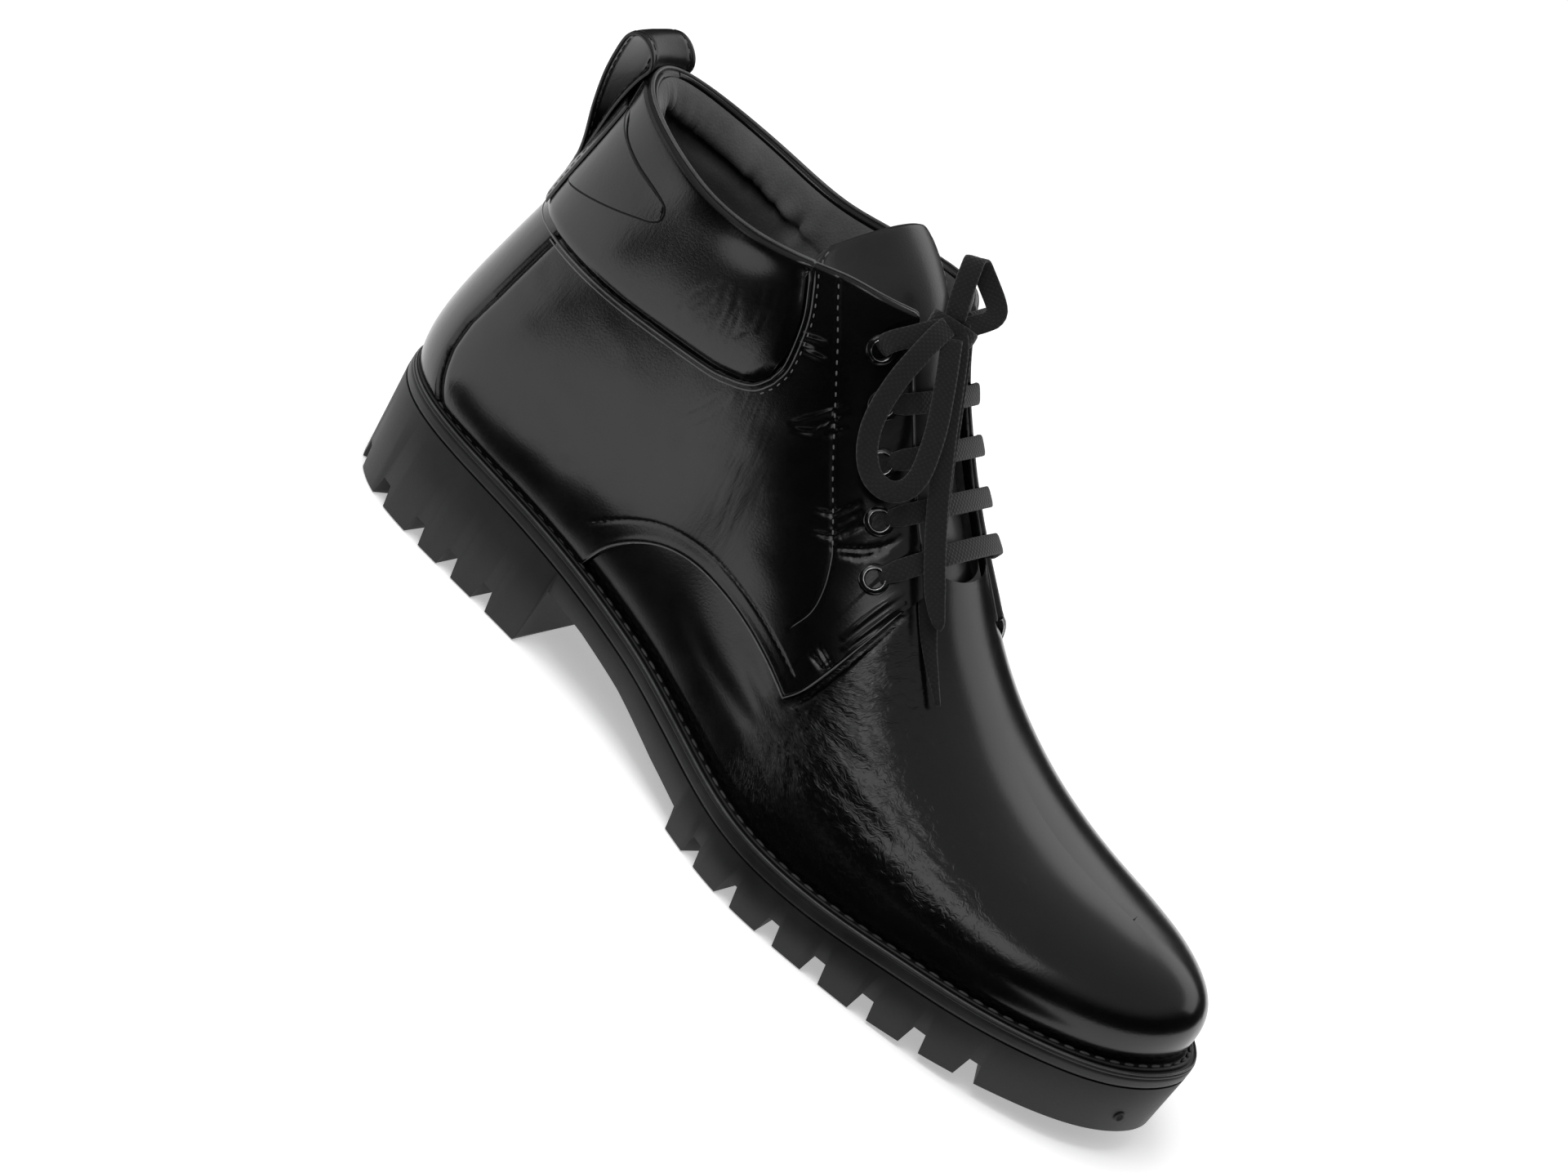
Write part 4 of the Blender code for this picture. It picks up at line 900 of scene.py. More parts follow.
def stitchLine(name, line, normals, lift, length=2.3, gap=0.9, radius=0.34, finish=None):
    # a row of thread stitches along a line over the leather
    line = np.asarray(line, float)
    gone = lengthAlong(line)
    middles = np.arange(gap, gone[-1] - length / 2, length + gap) + length / 2
    centre, out = readAt(line, gone, middles), unit(readAt(normals, gone, middles))
    along = unit(readAt(line, gone, middles + 0.4) - readAt(line, gone, middles - 0.4))
    aside = np.cross(out, along)
    rings, thick, corners = np.array(stitchShape["rings"]), np.array(stitchShape["thick"]), stitchShape["corners"]
    turns = fullTurn(corners)
    points = (centre[:, None, None] + out[:, None, None] * lift
              + along[:, None, None] * (rings * length / 2)[None, :, None, None]
              + aside[:, None, None] * (thick[:, None] * np.cos(turns) * radius)[None, :, :, None]
              + out[:, None, None] * (thick[:, None] * np.sin(turns) * radius * 0.8)[None, :, :, None])
    single = gridFaces(len(rings), corners, wrapColumns=True)
    size = len(rings) * corners
    faces = np.concatenate([single + size * n for n in range(len(middles))]).tolist()
    for n in range(len(middles)):
        faces += [tuple(size * n + k for k in reversed(range(corners))),
                  tuple(size * (n + 1) - corners + k for k in range(corners))]
    return addMesh(name, points.reshape(-1, 3), faces, finish or waxedThread)


def outward(made, centre):
    # turns a piece's faces away from a point inside it
    mesh = made.data
    middle = Vector(place(np.asarray(centre, float)).tolist())
    if sum(polygon.area * polygon.normal.dot(polygon.center - middle) for polygon in mesh.polygons) < 0:
        mesh.flip_normals()
    return made


sideNames = {-1: "Outer", 1: "Inner"}
# the outlines over the side of the boot, as x and z
quarterEdge = ((92, 32), (96.5, 42), (104, 50.5), (113, 56.3), (124, 58.8), (140, 58.3), (156, 55.3), (168.6, 51.4))
quarterFront = ((168.6, 51.4), (170.6, 54.4), (172, 58), (173.6, 67), (174.3, 77), (174.3, 84.6))
cuffLow = ((20.7, 95.4), (54.7, 97.6), (87.8, 102.5), (98, 105.4), (104.5, 108.8), (107.4, 113.2))
cuffFront = ((107.4, 113.2), (108, 119), (104.5, 130), (99.6, 138), (96.9, 141.8))
cuffSeamX, cuffSeamZ = np.transpose(((20.7, 95.35), *cuffLow[1:]))
cuffEndX, cuffEndZ = np.transpose((cuffLow[-2], *cuffFront))
patchLow = ((20.7, 107.3), (36, 113.5), (49, 119.5), (52.4, 122.2))
patchTop = ((52.4, 122.2), (52.6, 125), (50.2, 127.2), (36, 128.4), (27, 130.3))
foldBand = ((87.4, 44), (98.5, 54.6), (110, 61.6), (124.8, 64.4), (142.1, 63.4), (158, 60.2), (166.6, 57.6))
facingSeam = (
    (104.7, 145.5), (109.6, 139.7), (115.2, 132.9), (121.4, 123.8), (127.8, 114.7), (136.1, 104.4), (144.9, 94.6),
    (152, 86.3), (155.9, 79.7), (157.9, 72.9), (156.5, 66.1),
)
facingEnd = (149.5, 89.4)  # here the stitches of the facing's seam end, and a crease goes on

# creases over the side: depth (a ridge below 0), width, and the line as x and z; the last three show on both sides
creaseTable = (
    (0.45, 0.7, ((103.8, 126), (108.5, 128.1), (113, 130.1))), (0.4, 0.6, ((106.2, 124.5), (111.4, 126.6))),
    (0.45, 0.7, ((107.6, 124), (115.9, 126.5))),
    (0.5, 0.7, ((120, 107.9), (122.9, 112.3), (125.8, 117), (127.3, 119.9))),
    (0.5, 0.7, ((121.6, 106.9), (125.4, 109.1), (127.9, 114.2), (129.4, 118.1))),
    (0.4, 0.6, ((128.5, 110.2), (131.4, 114.7))), (0.5, 0.7, ((140, 93.5), (144, 95.6), (147, 101.3))),
    (0.5, 0.7, ((143.5, 88.7), (148.3, 91.5), (150.4, 98.9))), (0.45, 0.6, ((149.8, 92.3), (151.9, 98.7))),
    (0.45, 0.6, ((146.4, 93), (148.8, 99.9))),
    (0.5, 0.7, ((150.2, 88.8), (156.8, 93.4), (159.5, 97), (159.8, 99.3))),
    (0.45, 0.6, ((153.3, 88.5), (157.5, 91.2), (160, 95.2))),
    (-0.55, 0.7, ((169.1, 73.1), (169.5, 81.5), (170.4, 88.6))),
    (-0.55, 0.7, ((171.4, 71.4), (172.2, 80.1), (172.5, 86.9))), (-0.5, 0.6, ((173.3, 71.3), (174.4, 80.4))),
    (0.4, 0.7, ((166.6, 67.5), (170.3, 66.4), (173.9, 65.2))), (0.4, 0.7, ((166.4, 64.6), (172.5, 64.1))),
    (0.3, 4.0, ((53.7, 58.7), (62.8, 60.4), (70.4, 54.8))), (0.07, 0.6, ((98, 99), (96, 94), (93, 88))),
    (0.07, 0.6, ((101.7, 101), (100.5, 95), (98, 89))),
)
cuffCreases = (
    (0.07, 0.8, ((76.2, 119.4), (74.6, 115), (73.6, 110.6), (75, 107.6))),
    (0.09, 0.7, ((78.9, 122.6), (78, 117), (77, 112.4))), (0.08, 0.7, ((80.4, 119), (80.3, 115), (79.8, 110.8))),
    (0.1, 0.7, ((82.2, 123.4), (82.7, 118), (82.6, 112.6))), (0.09, 0.7, ((84, 120.6), (85, 115.6), (85.4, 110))),
    (0.1, 0.7, ((85.9, 124.6), (87.6, 118.6), (88.3, 113.4))),
    (0.08, 0.7, ((88.4, 122), (90.6, 117), (91.2, 112.4))), (0.08, 0.7, ((93.4, 125), (94, 119), (92.8, 115))),
    (0.07, 0.7, ((96.4, 126), (97, 121))), (0.07, 0.7, ((90.6, 130.4), (91.8, 127))),
    (0.07, 0.7, ((94, 132), (95, 128.6))),
)


def overSide(table, side):
    return [(sideLine(line, side)[0], depth, width) for depth, width, line in table]


# depth and width of the seam and the fold band, how far the inner side reaches further forward, the leather's wave,
# ripple and fine wrinkles, how deep the back strip presses it in, and radii of the cords on its edges
quarterLook = {"lift": panelLift, "columns": 200, "rounding": 1.1, "bead": 0.1, "seam": (0.22, 0.7),
               "band": (0.14, 0.5), "innerShift": 9.0, "wave": 0.26, "ripple": 0.07, "wrinkle": 0.05, "strip": 0.95,
               "piping": 0.32, "edge": 0.2}


def quarterLines(side):
    # the quarter's lower edge and front edge, each with its rows and levels
    shift = quarterLook["innerShift"] if side > 0 else 0.0
    lower = [(x + shift * min(1, max(0, (x - 150) / 19)), z) for x, z in quarterEdge]
    front = [(x + shift * min(1, max(0, (x - 160) / 9)), z) for x, z in quarterFront]
    return sideLine(lower, side, count=70), sideLine(front, side, count=36)


def underCuff(points):
    # which points lie inside the cuff's outline, judged from the side
    x, z = points[..., 0], points[..., 2]
    return (z > np.interp(x, cuffSeamX, cuffSeamZ)) & (x < np.interp(z, cuffEndZ, cuffEndX))


# the back strip's half width in rows at each level, and how it lies
stripLook = {"lift": 2.3, "columns": 90, "rounding": 0.8, "top": 100.0, "press": 0.7,
             "levels": (0, 0.05, 0.12, 0.2, 0.3, 0.4, 0.66), "reach": (2.36, 2.28, 2.14, 2.02, 1.99, 2.06, 2.16)}


def stripEdge(levels):
    return np.interp(levels, stripLook["levels"], stripLook["reach"])


def stripLine(sign):
    # one long edge of the back strip
    levels = np.linspace(0, stripLook["levels"][-1], 60)
    return surface(sign * stripEdge(levels), levels)


def quarterSheet(side, edgeT, edgeV):
    # the rows that the quarter runs over, its lowest and highest level in each, and its edge at the back
    backCount = 130
    rows = np.concatenate((np.linspace(0.4, edgeT[0] - 0.004, backCount), edgeT))
    low = np.concatenate((np.full(backCount, 0.0), edgeV))
    fine = np.unique(np.concatenate((rows, np.linspace(edgeT[0], edgeT[-1], 150))))
    fine = fine[np.concatenate(([True], np.diff(fine) > 0.0022))]
    low = np.interp(fine, rows, low)
    loopT = fine if side < 0 else -fine
    high = np.minimum(reach(loopT, rounded=False), 1.0)
    corner = surface(np.full(8, loopT[backCount - 1]), np.linspace(0, edgeV[0], 8))
    return loopT, np.minimum(low, high - 0.0005), high, corner


def buildQuarter(side):
    (lowLine, lowT, lowV), (frontLine, frontT, frontV) = quarterLines(side)
    edgeT = np.maximum.accumulate(acrossOf(np.concatenate((lowT, frontT[1:]))))
    loopT, low, high, corner = quarterSheet(side, edgeT, np.concatenate((lowV, frontV[1:])))
    cuffLine = np.vstack((sideLine(cuffLow, side)[0], sideLine(cuffFront, side)[0]))
    strip = stripLine(-side)

    def settle(flat, grid, levels, away, height):
        x, z = flat[..., 0], flat[..., 2]
        height = (height + quarterLook["wave"] * softNoise(x / 24, z / 17, 3)
                  + quarterLook["ripple"] * softNoise(x / 6, z / 6, 5))
        height -= quarterLook["strip"] * np.exp(-(distanceTo(flat, strip) / 1.7) ** 2)
        # fine wrinkles run down the front of the ankle
        lean = x + 0.25 * (z - 85) + 1.5 * softNoise(x / 14, z / 14, 41)
        fine = softNoise(lean / 0.7, z / 8, 42) + 0.5 * softNoise(lean / 1.6, z / 14, 43)
        middle, spread = np.interp(z, (60, 80, 105), (126, 116, 106)), np.interp(z, (60, 105), (9, 13))
        zone = np.exp(-((x - middle) / spread) ** 2) * np.clip((z - 62) / 12, 0, 1) * np.clip((112 - z) / 6, 0, 1)
        height += quarterLook["wrinkle"] * fine * zone
        # under the cuff it lies close to the lining
        flattened = skinGap + (height - skinGap) * np.exp(-(distanceTo(flat, cuffLine) / 0.3) ** 2)
        return np.where(underCuff(flat), flattened, height)

    name = "quarter" + sideNames[side]
    grooves = [(sideLine(facingSeam, side)[0], *quarterLook["seam"]),
               (sideLine(foldBand, side)[0], *quarterLook["band"])]
    made = leatherPatch(name, loopT, low, high, [np.vstack((corner[:-1], lowLine, frontLine))], quarterLook, settle,
                        finish=quarterLeather, strokes=overSide(creaseTable if side < 0 else creaseTable[-3:], side),
                        grooves=grooves, roll=True)
    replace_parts(made, "quarter_outer" if side < 0 else "quarter_inner")
    crown, out = crowns[name]
    front = acrossOf(loopT) > 5.2
    # the pale piping along the quarter's rolled top is a painted highlight line
    seamCord("facingPiping" + sideNames[side], crown[front], out[front], quarterLook["piping"], 0.1, highlightEdge)
    # a pale cord along its lower and front edges is a painted highlight line too
    whole = np.vstack((lowLine, frontLine)) + 0.45 * np.array((-0.6, 0, 0.8))
    normals = np.vstack((surfaceNormal(lowT, lowV), surfaceNormal(frontT, frontV)))
    seamCord("edgeLine" + sideNames[side], whole, normals, quarterLook["edge"], panelLift - 0.02, highlightEdge)
    return outward(made, (90, 0, 90))


# how the padding swells, waves and sinks in at the seam; where the rim flares: height, x, length and depth; the
# cords below the cuff: distance from its seam, radius, lift and flatness; and the stitches beside the front one
cuffLook = {"lift": cuffLift, "columns": 96, "rounding": 0.9, "padding": 1.5, "wave": 0.16, "sink": 1.9,
            "sinkWidth": 4.2, "rimPiping": 0.6, "flares": ((1.7, 82, 10, 8.5), (1.2, 60, 15, 16)),
            "cords": {"cuffPiping": (0.75, 0.6, -0.05, 1.0), "cuffEdge": (0.7, 0.16, 0.5, 1.0),
                      "cuffSeam": (2.1, 0.22, 0.05, 0.6)},
            "stitchAway": 3.2, "stitchFrom": 126, "stitch": {"length": 1.2, "gap": 1.5, "radius": 0.2}}


def cuffLevels(t):
    # the level of the cuff's lower seam at each row
    known = np.linspace(0, 5.2, 40)
    x = surface(known, np.full(40, 0.62))[:, 0]
    level = levelAtHeight(known, np.interp(x, cuffSeamX, cuffSeamZ))
    return np.interp(acrossOf(np.asarray(t, float)), known, level)


def padOut(grid, levels):
    # the cuff's padding swells between its seam and the rim
    low = cuffLevels(grid.ravel()).reshape(grid.shape)
    share = np.clip((levels - low) / (1 - low), 0, 1)
    return cuffLook["padding"] * np.sin(math.pi * share**0.85) ** 0.8 * np.clip((6.3 - acrossOf(grid)) / 0.8, 0, 1)


def cuffWave(flat):
    # the padding's uneven swell
    return cuffLook["wave"] * softNoise(flat[..., 0] / 16 + 3 * (flat[..., 1] > 0), flat[..., 2] / 13, 8)


def rimFlare(x, levels):
    # the rim leans outward a little beside the opening's lowest part
    below = (1 - levels) * 141  # about how far under the rim
    return sum(height * np.exp(-((x - middle) / length) ** 2 - (below / depth) ** 2)
               for height, middle, length, depth in cuffLook["flares"])


def bothSides(outer, inner):
    # rows and levels of both sides in one run: the inner side's backwards, then the outer side's
    (rows, *levels), (innerRows, *innerLevels) = outer, inner
    return (np.concatenate((-innerRows[:0:-1], rows)),
            *(np.concatenate((back[:0:-1], ahead)) for back, ahead in zip(innerLevels, levels)))


def down(line, out, amount):
    # a shift over the leather away from the cuff
    aside = unit(np.cross(np.gradient(line, axis=0), out))
    aside *= np.sign(aside[len(line) // 3] @ np.array((0, 0, -1.0)))
    return aside * amount


def cuffHalf(side):
    # one side of the cuff: its rows with their lowest and highest level, its edges, and its seam with normals
    lowLine, lowT, lowV = sideLine(cuffLow, side, count=60)
    frontLine, frontT, frontV = sideLine(cuffFront, side, count=40)
    across, acrossFront = acrossOf(lowT), acrossOf(frontT)
    start, last = acrossFront[-1], across[-1]
    rows = np.unique(np.concatenate((np.linspace(0, start, 190), np.linspace(start, last, 44))))
    backT = np.linspace(0, across[0] - 0.02, 12)
    backV = levelAtHeight(backT, 95.3)
    low = np.interp(rows, np.concatenate((backT, across)), np.concatenate((backV, lowV)))
    order = np.argsort(acrossFront)
    high = np.where(rows <= start, 1.0, np.interp(rows, acrossFront[order], frontV[order]))
    edges = [surface(-side * backT, backV), lowLine, frontLine]
    seamT = -side * np.linspace(0.35, across[0] - 0.02, 12)
    seamV = levelAtHeight(seamT, 95.3)
    seam = np.vstack((surface(seamT, seamV), lowLine, frontLine[1:]))
    out = np.vstack((surfaceNormal(seamT, seamV), surfaceNormal(lowT, lowV), surfaceNormal(frontT, frontV)[1:]))
    return (rows, low, np.maximum(high, low + 0.0005)), edges, (seam, out)


def buildCuff():
    halves = {side: cuffHalf(side) for side in (-1, 1)}
    rows, low, high = bothSides(halves[-1][0], halves[1][0])

    def swell(flat, grid, levels, away, height):
        soft = np.clip(away / cuffLook["sinkWidth"], 0, 1)
        sunk = cuffLook["sink"] * (1 - np.sqrt(1 - (1 - soft) ** 2))
        return height + padOut(grid, levels) - sunk + cuffWave(flat) * soft + rimFlare(flat[..., 0], levels)

    strokes = overSide(cuffCreases, -1) + overSide(cuffCreases[1::2], 1)
    made = leatherPatch("collarCuff", rows, low, high, halves[-1][1] + halves[1][1], cuffLook, swell, strokes=strokes,
                        roll=True)
    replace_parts(made, "collar_cuff")
    outward(made, (60, 0, 120))
    # the pale piping on the rim is a painted highlight line
    seamCord("rimPiping", *crowns["collarCuff"], cuffLook["rimPiping"], 0.15, highlightEdge)
    for side, name in sideNames.items():
        seam, out = halves[side][2]
        line, gone = smoothCurve(seam, 170), lengthAlong(seam)
        out = unit(readAt(out, gone, np.linspace(0, gone[-1], 170)))
        for cord, (away, radius, lift, flatten) in cuffLook["cords"].items():
            # the cuff's edge and seam cords are pale, painted highlight lines; its piping is black leather
            finish = blackLeather if cord == "cuffPiping" else highlightEdge
            seamCord(cord + name, line + down(line, out, away), out, radius, panelLift + lift, finish, flatten)
        first = cuffLook["stitchFrom"]
        stitchLine("cuffStitches" + name, (line + down(line, out, cuffLook["stitchAway"]))[first:], out[first:],
                   panelLift + 0.1, **cuffLook["stitch"])


# heights of the vamp's wrinkles over all, where they gather and where they start, and of its slow waves; the point
# from which they fan out, their share on the inner side, and the grooves along the quarters' front edges
vampLook = {"lift": 0.0, "columns": 230, "rounding": 0.0, "wrinkle": 0.12, "gathered": 0.14, "start": 0.22,
            "wave": 0.12, "fan": (157, 37), "innerShare": 0.6, "edge": (0.8, 1.0)}
# its wide folds: depth, width, and the line as x and z; the first two show on both sides
vampFolds = (
    (0.2, 2.4, ((176, 46), (188, 45), (205.2, 43.8), (223.3, 42))),
    (0.16, 2.2, ((178.4, 55.2), (195, 53), (211.4, 50), (233, 46))),
    (0.2, 2.6, ((148.7, 51.9), (160.6, 48.1), (174.4, 46.1))),
    (0.2, 3.0, ((128, 45), (143.4, 41), (161.3, 39.8), (177.3, 40))),
)


def vampRows():
    # close together over the flexing part and over the lacing's foot
    def half(step, flexStep):
        return np.concatenate((np.arange(4.4, opening["row"], step), openingRows(14),
                               np.arange(10.28, 14.8, flexStep), np.arange(14.8, 17.001, 0.08)))

    return np.concatenate((half(0.12, 0.045), (loopRows - half(0.16, 0.08)[::-1])[1:]))


def wrinkle(flat, grid, levels, away, height):
    # flexing has left fine wrinkles below the lacing, which draw together towards the toe
    x = flat[..., 0]
    climb = levels * np.interp(x, (155, 171, 190, 213, 237, 259, 280), (115, 102, 91, 79, 69, 62, 56))
    fanX, fanZ = vampLook["fan"]
    far = np.hypot(x - fanX, climb - fanZ) + 1e-6
    turn = (np.arctan2(climb - fanZ, np.maximum(x - fanX, 1.0)) + 0.06 * softNoise(x / 13, climb / 12, 21)
            + 0.02 * softNoise(x / 4, climb / 4, 22))
    fine = 0.35 * softNoise(turn * 44, far / 7, 11) + softNoise(turn * 17, far / 12, 12)
    branch = softNoise((x + 0.8 * climb) / 1.7, (climb - 0.6 * x) / 9, 13)
    low = np.interp(x, (176, 184, 200, 223, 250, 268), (14, 11, 15, 24, 28, 30))
    top = np.interp(x, (172, 184, 196, 212, 232, 258, 270), (84, 80, 70, 60, 50, 43, 38))
    mask = (np.clip((x - 171) / 6, 0, 1) * np.clip((268 - x) / 12, 0, 1)
            * np.clip((climb - low) / 5, 0, 1) * np.clip((top - climb) / 9, 0, 1))
    gathered = np.exp(-((climb - low - 8) / 9) ** 2)
    start = np.clip((200 - x) / 14, 0, 1) * np.exp(-((climb - 22) / 9) ** 2)
    side = np.where(acrossOf(grid) == grid, 1.0, vampLook["innerShare"])
    wave = (vampLook["wave"] * softNoise(x / 18, climb / 15, 14) * np.clip(levels * 6, 0, 1)
            * np.clip((290 - x) / 60, 0, 1))
    return (height + side * mask * (vampLook["wrinkle"] + vampLook["gathered"] * gathered) * fine
            + vampLook["start"] * side * start * mask * branch + wave)


def buildVamp():
    rows = vampRows()
    # the leather is pressed in where the quarters' front edges lie on it
    grooves = [(quarterLines(side)[1][0] + np.array((0.8, 0, -0.6)), *vampLook["edge"]) for side in (-1, 1)]
    made = leatherPatch("vampAndToe", rows, 0.0, reach(rows), [], vampLook, wrinkle, finish=creasedLeather,
                        strokes=overSide(vampFolds, -1) + overSide(vampFolds[:2], 1), grooves=grooves)
    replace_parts(made, "upper")
    mergeClose(made)
    return outward(made, (200, 0, 40))


def mergeClose(made):
    # joins the points that meet along the vamp's crest
    shape = bmesh.new()
    shape.from_mesh(made.data)
    bmesh.ops.remove_doubles(shape, verts=shape.verts, dist=0.00002)
    shape.to_mesh(made.data)
    shape.free()
    made.data.polygons.foreach_set("use_smooth", [True] * len(made.data.polygons))


# the padded roll above the quilted seam, the padding under it and near the tongue, where there is no seam, the
# cloth's gathers and waves, and how full the padding is
liningLook = {"roll": 4.8, "under": 3.4, "plain": 4.2, "gather": 2.2, "wave": 0.5, "fill": 0.45}


def liningRows():
    rows = np.concatenate((np.arange(0, 8, 0.05), np.arange(8, opening["row"], 0.1), openingRows(10),
                           np.arange(10.4, 17.001, 0.15)))
    return np.concatenate((rows, (loopRows - rows[::-1])[1:-1]))


def buildLining():
    rows = liningRows()
    shares = np.concatenate((np.linspace(0, 0.5, 16), np.linspace(0.51, 1, 84)))
    levels = reach(rows)[:, None] * shares[None, :]
    grid = np.repeat(rows[:, None], len(shares), axis=1)
    across = acrossOf(grid)
    collar = np.clip((7.4 - across) / 1.8, 0, 1)
    # the padding is quilted down along one seam, where the cloth gathers
    fold = np.interp(across, (0, 0.8, 1.2, 3.4, 4, 5, 7), (0.93, 0.915, 0.91, 0.9, 0.88, 0.86, 0.85))
    held = np.interp(across, (0, 3.0, 3.9, 7), (1, 1, 0.12, 0))
    share = np.clip((levels - fold) / (1 - fold), 0, 1)
    roll = liningLook["roll"] * np.sin(math.pi * share**0.5) ** 0.7
    plain = liningLook["plain"] * np.sin(math.pi * np.clip((levels - 0.7) / 0.3, 0, 1) ** 0.8) ** 0.9
    below = np.maximum(fold - levels, 0)
    under = liningLook["under"] * (1 - np.exp(-(below / 0.035) ** 2)) * np.exp(-(below / 0.12) ** 2)
    puff = collar * (held * np.where(levels > fold, roll, under) + (1 - held) * plain)
    near = np.exp(-((levels - fold) / 0.04) ** 2)
    strength = np.interp(across, (0, 0.4, 1.2, 1.8, 2.6, 3.0, 3.6, 4.4, 6),
                         (0.9, 1.3, 1.1, 0.4, 0.4, 1.3, 1.3, 0.4, 0.1))
    gather = (collar * near * strength
              * (softNoise(grid * 6, levels * 8, 31) + 0.7 * softNoise(grid * 13, levels * 10, 32)))
    wave = liningLook["wave"] * softNoise(grid * 2.2, levels * 9, 33) * collar * np.clip((1 - levels) * 12, 0, 1)
    points = surface(grid, levels, -wall - np.maximum(puff + gather * liningLook["gather"] + wave, 0))
    faces = gridFaces(*points.shape[:2], wrapRows=True, flip=True)
    made = addMesh("paddedLining", points, faces, greyLining)
    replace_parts(made, "upper")
    return made


heelPatchLook = {"lift": cuffLift + 0.16, "columns": 60, "rounding": 0.4, "seam": 0.3}
# where the patch's top runs down from the rim, as rows and heights, and the seam round it as x and z
patchRise = ((1.02, 1.1, 1.25, 1.45, 1.7), (142.0, 139.5, 135.6, 133.0, 131.4))
patchSeam = (
    (18.2, 107.0), (22, 107.9), (36, 113.6), (46, 118.2), (51, 120.8), (53, 123.4), (51.6, 126.4), (46, 127.7),
    (36, 128.6), (27, 130.6), (21.4, 135),
)


def patchHalf(side):
    # one side of the patch: its rows with their lowest and highest level, and its edges
    _, lowT, lowV = sideLine(patchLow, side, count=40)
    _, topT, topV = sideLine(patchTop, side, count=40)
    lowT, topT = acrossOf(lowT), acrossOf(topT)
    backT = np.linspace(0, lowT[0] - 0.03, 16)
    backV = levelAtHeight(backT, np.interp(backT, (0, lowT[0]), (104.5, 107.2)))
    riseT = np.array(patchRise[0])
    last = max(lowT[-1], topT.max())
    rows = np.unique(np.concatenate((np.linspace(0, 1.0, 22), np.linspace(1.0, 1.8, 22),
                                     np.linspace(1.8, last - 0.003, 50))))
    order = np.argsort(topT)
    ahead = topT[order] > 1.75
    knownT = np.concatenate((riseT, topT[order][ahead]))
    knownV = np.concatenate((levelAtHeight(riseT, np.array(patchRise[1])), topV[order][ahead]))
    low = np.interp(rows, np.concatenate((backT, lowT)), np.concatenate((backV, lowV)))
    high = np.maximum(np.where(rows < 1.0, 1.0, np.interp(rows, knownT, knownV)), low + 0.0005)
    free = rows >= 1.0
    return (rows, low, high), [surface(-side * rows, low), surface(-side * rows[free], high[free])]


def onPadding(flat, grid, levels, away, height):
    # a panel that lies on the cuff's padding and follows it
    return height + padOut(grid, levels) + cuffWave(flat) + rimFlare(flat[..., 0], levels)


def buildHeelPatch():
    (outer, outerEdges), (inner, innerEdges) = patchHalf(-1), patchHalf(1)
    made = leatherPatch("heelPatch", *bothSides(outer, inner), outerEdges + innerEdges, heelPatchLook, onPadding)
    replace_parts(made, "heel_patch")
    for side, name in sideNames.items():
        line, t, v = sideLine(patchSeam, side, count=90)
        lift = padOut(t[:, None], v[:, None])[:, 0] + cuffWave(line) + rimFlare(line[:, 0], v)
        seamCord("patchSeam" + name, line, surfaceNormal(t, v), heelPatchLook["seam"], cuffLift + lift + 0.02,
                 darkShade)
    return outward(made, (60, 0, 120))


# the strap that holds the pull loop runs down the back of the cuff: how many rows it and its seams reach to each
# side, and the heights of its ends
strapLook = {"lift": cuffLift + 0.95, "columns": 90, "rounding": 0.6, "reach": 1.3, "seam": 1.12, "low": 97.0,
             "high": 135.0, "stitch": {"length": 1.8, "gap": 0.9, "radius": 0.2}}


def buildStrapBase():
    rows = np.linspace(-strapLook["reach"], strapLook["reach"], 72)
    low, high = levelAtHeight(rows, strapLook["low"]), levelAtHeight(rows, strapLook["high"])
    edges = [surface(np.full(90, end), np.linspace(low[0], high[0], 90)) for end in (rows[0], rows[-1])]

    def swell(flat, grid, levels, away, height):
        return height + padOut(grid, levels)

    edges += [surface(rows, low), surface(rows, high)]
    made = leatherPatch("strapBase", rows, low, high, edges, strapLook, swell, finish=softLeather)
    for side, name in sideNames.items():
        t, v = np.full(60, side * -strapLook["seam"]), np.linspace(low[0], high[0], 62)[1:-1]
        out = surfaceNormal(t, v)
        stitchLine("strapStitches" + name, surface(t, v) + out * padOut(t[:, None], v[:, None]), out, strapLook["lift"],
                   finish=rubberThread, **strapLook["stitch"])
    return outward(made, (60, 0, 120))


def buildBackStrip():
    rows = np.linspace(-1, 1, 90)

    def press(flat, grid, levels, away, height):
        soft = np.clip(away / 3.6, 0, 1)
        return (height - stripLook["press"] * (1 - np.sqrt(1 - (1 - soft) ** 2))
                + 0.12 * softNoise(flat[..., 1] / 14, flat[..., 2] / 14, 9))

    made = leatherPatch("backStrip", rows, 0.0, levelAtHeight(rows, stripLook["top"]), [stripLine(-1), stripLine(1)],
                        stripLook, press, widen=stripEdge)
    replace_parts(made, "back_strip")
    return outward(made, (60, 0, 60))


buildLining()
buildVamp()
for side in sideNames:
    buildQuarter(side)
buildCuff()
buildHeelPatch()
buildStrapBase()
buildBackStrip()
print("upper built")


# x, z, crown, outer edge, inner edge and fall of the tongue, from its foot to its top
tongueTable = (
    (189.5, 77.4, 0, -20, 18, 0.0125), (178.4, 86.8, -0.5, -23, 20, 0.0142), (168.9, 95.9, -1, -24, 20.5, 0.0164),
    (159, 105.2, -1, -24, 20.5, 0.0188), (149.2, 115.6, -1, -24, 20.5, 0.0217), (140, 127.2, -1, -24, 20.5, 0.0252),
    (132, 137, 0, -24, 21, 0.0268), (122.6, 144.6, 4, -24.5, 22, 0.024), (112, 150.8, 7, -25.5, 24, 0.018),
    (104.6, 154.6, 8, -25.5, 24, 0.0162), (100.8, 156.4, 8, -24, 22, 0.0158), (98.2, 157.6, 8, -19, 18.5, 0.0155),
)
